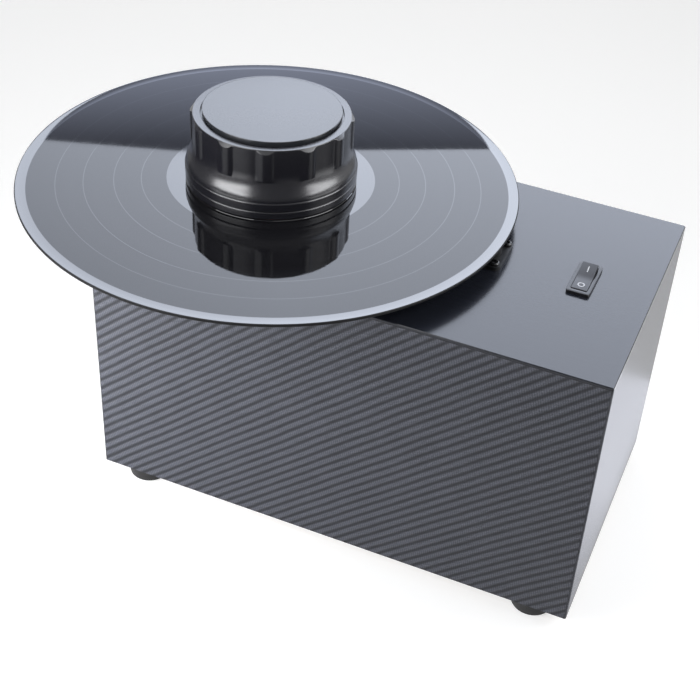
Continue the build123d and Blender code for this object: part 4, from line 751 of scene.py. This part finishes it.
band_part = softened(
    [
        (base_radius - base_break, base_level), (band_radius, base_level + base_break),
        (band_radius, band_top), (band_radius - band_step[0], bell_bottom - band_step[1]),
    ],
    np.array([0.0, 0.35, 0.35, 0.1]) * MM,
)
steep = np.linspace(grip_bottom + 0.3 * MM, bevel_start, 30)
bevelled = np.linspace(bevel_start + 0.2 * MM, rim_level, 16)
grip_levels = np.concatenate([steep, bevelled])
body_profile = np.vstack(
    [
        band_part, bell_curve(np.linspace(0.0, 1.0, 44)),
        np.stack([np.full(len(grip_levels), grip_radius), grip_levels], axis=1),
        [(rim_radius - rim_break, rim_level), (seat_radius + seat_break, rim_level)],
        [(seat_radius, rim_level - seat_break), (seat_radius, seat_level), (0.0, seat_level)],
        [(0.0, web_level), (cavity_radius, web_level), (cavity_radius, base_level)],
    ]
)
skin(
    "ribbed_bell", ribbed(body_profile, 720), turner_moulding, "hand_turner",
    ["turner_body"], crease=30.0,
)

seal_outer = 49.0 * MM
seal_inner = 43.0 * MM
seal_top = record_top + 2.0 * MM
boss_radius = 9.0 * MM
boss_bore = 6.0 * MM
boss_top = record_top + 22.8 * MM
base_profile = softened(
    [
        (boss_bore, base_bottom), (seal_inner, base_bottom), (seal_inner, seal_top),
        (seal_outer, seal_top), (seal_outer, base_bottom), (base_radius, base_bottom),
        (base_radius, base_level - base_break), (base_radius - base_break, base_level),
        (boss_radius, base_level), (boss_radius, boss_top), (boss_bore, boss_top),
    ],
    np.array([0.1, 0.1, 0.05, 0.05, 0.1, 0.5, 0.3, 0.05, 0.3, 0.3, 0.1]) * MM,
)
skin(
    "turner_foot", turned(base_profile, axis_place, 360), turner_moulding, "hand_turner",
    ["turner_base"],
)
cap_profile = np.vstack(
    [
        [(0.0, seat_level)],
        softened(
            [(0.0, seat_level), (cap_radius, seat_level), (cap_radius, cap_level),
             (0.0, cap_level)],
            np.array([0.0, 0.1, 0.45, 0.0]) * MM,
        )[corner_steps:-corner_steps],
        [(cap_radius - cap_support, cap_level), (0.0, cap_level)],
    ]
)
skin(
    "cap_disc", turned(cap_profile, axis_place, 256), cap_disc, "hand_turner", ["turner_cap"],
    ring_rows=False,
)
dress(rubber, "turner_seal")
dress(zinc, "turner_weight", "turner_screws")

# ---------------------------------------------------------------- mains switch
# A snap-in rocker switch: a bezel with a rounded lip round a well, and a rocker on a pin, with
# its front half pressed. The off and on marks are white paint filled into the moulding.
switch_place = (154.675 * MM, 0.0)
plate_top = 187.0 * MM
bezel_top = 189.0 * MM
bezel_size = (14.0 * MM, 32.0 * MM)
body_size = (11.6 * MM, 29.0 * MM)
well_size = (9.8 * MM, 26.6 * MM)
body_bottom = 165.0 * MM
well_floor = 167.4 * MM
pivot_level = 186.0 * MM
rocker_half_length = 12.3 * MM
rocker_half_width = 4.7 * MM
rocker_angle = radians(8.0)
rocker_valley = 3.2 * MM
rocker_depth = 6.0 * MM
rocker_skirt = 1.0 * MM
rocker_root = 4.92 * MM
mark_place = 7.2 * MM
mark_rise = 0.03 * MM
mark_square = 0.4
off_mark_outer = 2.1 * MM
off_mark_inner = 1.45 * MM
on_mark_half_width = 0.36 * MM
on_mark_half_length = 2.3 * MM

switch_moulding = finish(
    "switch_moulding", (0.015, 0.015, 0.018), 0.3, grain=2200.0, spread=0.1, relief=0.000004,
    IOR=1.36,
)
brass = finish("brass", (0.66, 0.5, 0.22), 0.25, 1.0, grain=900.0, spread=0.12, relief=0.000003)
dress(brass, "switch_terminals")


def boxed(rows, centre, count=96):
    """Rounded rectangles stacked into a grid. A row gives half width, half length, the power
    of its superellipse and its height, and |x/a|^n + |y/b|^n = 1 is its outline."""
    angle = np.linspace(0.0, 2 * pi, count, endpoint=False)[None, :]
    half_x, half_y, power, height = np.asarray(rows, float).T[:, :, None]
    x = centre[0] + half_x * signed_power(np.cos(angle), 2 / power)
    y = centre[1] + half_y * signed_power(np.sin(angle), 2 / power)
    return np.stack([x, y, height + 0 * angle], axis=-1)


lip = 0.45 * MM
bezel_x, bezel_y = bezel_size[0] / 2, bezel_size[1] / 2
body_x, body_y = body_size[0] / 2, body_size[1] / 2
well_x, well_y = well_size[0] / 2, well_size[1] / 2
skin(
    "switch_bezel",
    boxed(
        [
            (0, 0, 12, body_bottom), (body_x, body_y, 16, body_bottom),
            (body_x, body_y, 16, plate_top),
            (bezel_x - 0.05 * MM, bezel_y - 0.05 * MM, 14, plate_top),
            (bezel_x, bezel_y, 14, plate_top + 0.1 * MM), (bezel_x, bezel_y, 14, bezel_top - lip),
            (bezel_x - 0.13 * MM, bezel_y - 0.13 * MM, 14, bezel_top - 0.13 * MM),
            (bezel_x - lip, bezel_y - lip, 15, bezel_top),
            (well_x + 0.3 * MM, well_y + 0.3 * MM, 18, bezel_top),
            (well_x + 0.08 * MM, well_y + 0.08 * MM, 20, bezel_top - 0.08 * MM),
            (well_x, well_y, 20, bezel_top - 0.3 * MM), (well_x, well_y, 20, well_floor),
            (0, 0, 20, well_floor),
        ],
        switch_place, 160,
    ),
    switch_moulding, "cabinet", ["switch_housing"], ring_rows=False, crease=32.0,
)

rocker_rise = rocker_valley + rocker_half_length * np.tan(rocker_angle)
rocker_section = softened(
    [
        (-rocker_half_length, rocker_rise), (0.0, rocker_valley), (rocker_half_length, rocker_rise),
        (rocker_half_length, -rocker_skirt), (rocker_root, -rocker_depth),
        (-rocker_root, -rocker_depth), (-rocker_half_length, -rocker_skirt),
    ],
    np.array([0.6, 2.4, 0.6, 0.3, 0.3, 0.3, 0.3]) * MM,
)


def tilted(across, along, rise):
    """Points of the rocker's own frame, turned about its pin by the rocker's angle."""
    return np.stack(
        [
            switch_place[0] + across, along * cos(rocker_angle) - rise * sin(rocker_angle),
            pivot_level + along * sin(rocker_angle) + rise * cos(rocker_angle),
        ],
        axis=-1,
    )


side_steps = np.array([-1.0, -1.0, -0.985, -0.94, 0.94, 0.985, 1.0, 1.0])[:, None]
side_sizes = np.array([0.0, 0.955, 0.985, 1.0, 1.0, 0.985, 0.955, 0.0])[:, None]
skin(
    "rocker_key",
    tilted(
        rocker_half_width * side_steps + 0 * rocker_section[None, :, 0],
        rocker_section[None, :, 0] * side_sizes, rocker_section[None, :, 1] * side_sizes,
    ),
    switch_moulding, "rocker", ["switch_rocker"], ring_rows=False, crease=32.0,
)
mark_paint = finish(
    "mark_paint", (0.62, 0.63, 0.66), 0.5, grain=2600.0, spread=0.05, relief=0.000004
)


def mark_ring(outer, inner, centre_along, count=48):
    """Thin round band on the rocker's face at centre_along, between the outer and the inner
    radius. It reaches a mark_rise above and below the face."""
    angle = np.linspace(0.0, 2 * pi, count, endpoint=False)[None, :]
    radius = np.array([outer, outer, inner, inner])[:, None]
    lift = np.array([-mark_rise, mark_rise, mark_rise, -mark_rise])[:, None]
    across = radius * np.cos(angle)
    along = centre_along + radius * np.sin(angle)
    return tilted(across, along, rocker_valley + np.abs(along) * np.tan(rocker_angle) + lift)


def mark_bar(half_width, half_length, centre_along, count=40):
    """Thin rounded bar on the rocker's face at centre_along. Its rows shrink to its middle, and
    it reaches a mark_rise above and below the face."""
    angle = np.linspace(0.0, 2 * pi, count, endpoint=False)[None, :]
    size = np.array([0.0, 1.0, 1.0, 0.0])[:, None]
    lift = np.array([-mark_rise, -mark_rise, mark_rise, mark_rise])[:, None]
    across = size * half_width * signed_power(np.cos(angle), mark_square)
    along = centre_along + size * half_length * signed_power(np.sin(angle), mark_square)
    return tilted(across, along, rocker_valley + np.abs(along) * np.tan(rocker_angle) + lift)


skin(
    "off_mark", mark_ring(off_mark_outer, off_mark_inner, -mark_place), mark_paint, "rocker"
)
skin(
    "on_mark", mark_bar(on_mark_half_width, on_mark_half_length, mark_place), mark_paint,
    "rocker", ring_rows=False,
)

# ---------------------------------------------------------------- waste tank and suction motor
# A translucent moulded tank lies on the base board under a screwed lid. A small brush motor
# with a bladed fan stands on the lid and draws the air through the bar, hose and tank.
tank_moulding = finish(
    "tank_moulding", (0.7, 0.71, 0.69), 0.4, grain=900.0, spread=0.05, relief=0.00001,
    Transmission_Weight=0.25,
)
dress(tank_moulding, "waste_tank", "tank_lid")
dress(zinc, "lid_screws", "fan_housing", "motor_frame", "motor_shaft")
cast_metal = finish(
    "pressed_aluminium", (0.6, 0.61, 0.62), 0.38, 1.0, grain=1500.0, spread=0.12, relief=0.000008
)
dress(cast_metal, "impeller")
dress(bright_steel, "motor_bearings")
laminations = finish(
    "stacked_laminations", (0.17, 0.17, 0.18), 0.5, 0.85, grain=2.0,
    stretch=(5.0, 5.0, 1400.0), spread=0.3, relief=0.00005,
)
dress(laminations, "stator_core", "armature")
enamelled_wire = finish(
    "enamelled_copper", (0.5, 0.2, 0.08), 0.3, 0.8, grain=2.0, stretch=(30.0, 30.0, 1600.0),
    spread=0.25, relief=0.00015,
)
dress(enamelled_wire, "stator_coils")
copper = finish(
    "bare_copper", (0.75, 0.38, 0.24), 0.3, 1.0, grain=2.0, stretch=(20.0, 20.0, 2000.0),
    spread=0.12, relief=0.000006,
)
dress(copper, "commutator")
dress(brass, "brush_holders")
carbon = finish("carbon", (0.04, 0.04, 0.04), 0.75, grain=3500.0, spread=0.3, relief=0.00002)
dress(carbon, "carbon_brushes")

# ---------------------------------------------------------------- rear fittings and leads
# A hexagonal drain outlet with a ribbed push-on cap, a mains inlet with three blades and a
# powder-coated exhaust grille are screwed to the rear board. Sleeved leads run inside.
dress(rubber, "drain_hose")
dress(black_moulding, "drain_outlet", "power_inlet")
dress(brass, "inlet_pins")
powder_coat = finish(
    "powder_coat", (0.035, 0.035, 0.037), 0.5, grain=1900.0, spread=0.15, relief=0.00004
)
dress(powder_coat, "exhaust_grille")
dress(zinc, "rear_screws")
dress(finish("brown_sleeve", (0.27, 0.1, 0.045), 0.35, grain=600.0, relief=0.000004), "mains_wires")
dress(finish("green_sleeve", (0.22, 0.45, 0.09), 0.35, grain=600.0, relief=0.000004), "earth_lead")

drain_x = -21.625 * MM
drain_z = 34.0 * MM
cap_start_y = 91.05 * MM
cap_end_y = 106.45 * MM
cap_outer = 10.0 * MM
cap_inner = 7.6 * MM
cap_end_wall = 2.4 * MM
cap_grips = 14
cap_grip_depth = 0.75 * MM
cap_grip_run_in = 0.6 * MM
cap_collar = 2.0 * MM
drain_profile = softened(
    [
        (cap_inner, cap_start_y), (cap_outer, cap_start_y), (cap_outer, cap_start_y + cap_collar),
        (cap_outer, cap_end_y), (0.0, cap_end_y), (0.0, cap_end_y - cap_end_wall),
        (cap_inner, cap_end_y - cap_end_wall),
    ],
    np.array([0.15, 0.4, 0.2, 0.8, 0.0, 0.0, 0.15]) * MM,
)


def grooved_cap(profile, count):
    """The profile turned about the drain's axis, along Y. Beyond the collar a raised power of
    a cosine cuts the grip grooves into its side."""
    angle = np.linspace(0.0, 2 * pi, count, endpoint=False)[None, :]
    radius, depth = profile[:, :1], profile[:, 1:]
    beyond = np.clip((depth - cap_start_y - cap_collar) / cap_grip_run_in, 0.0, 1.0)
    cut = (0.5 + 0.5 * np.cos(cap_grips * angle)) ** 3 * cap_grip_depth
    wide = radius - cut * beyond * (radius > (cap_inner + cap_outer) / 2)
    return np.stack(
        [drain_x + wide * np.cos(angle), depth + 0 * angle, drain_z + wide * np.sin(angle)],
        axis=-1,
    )


collar_end = 3 * corner_steps
grip_depths = np.linspace(cap_start_y + cap_collar + 0.4 * MM, cap_end_y - 1.0 * MM, 8)
drain_rows = np.vstack(
    [
        drain_profile[:collar_end],
        np.stack([np.full(len(grip_depths), cap_outer), grip_depths], axis=1),
        drain_profile[collar_end:],
    ]
)
skin(
    "drain_push_cap", grooved_cap(drain_rows, 280), black_moulding, "outlet_cap", ["drain_cap"],
)
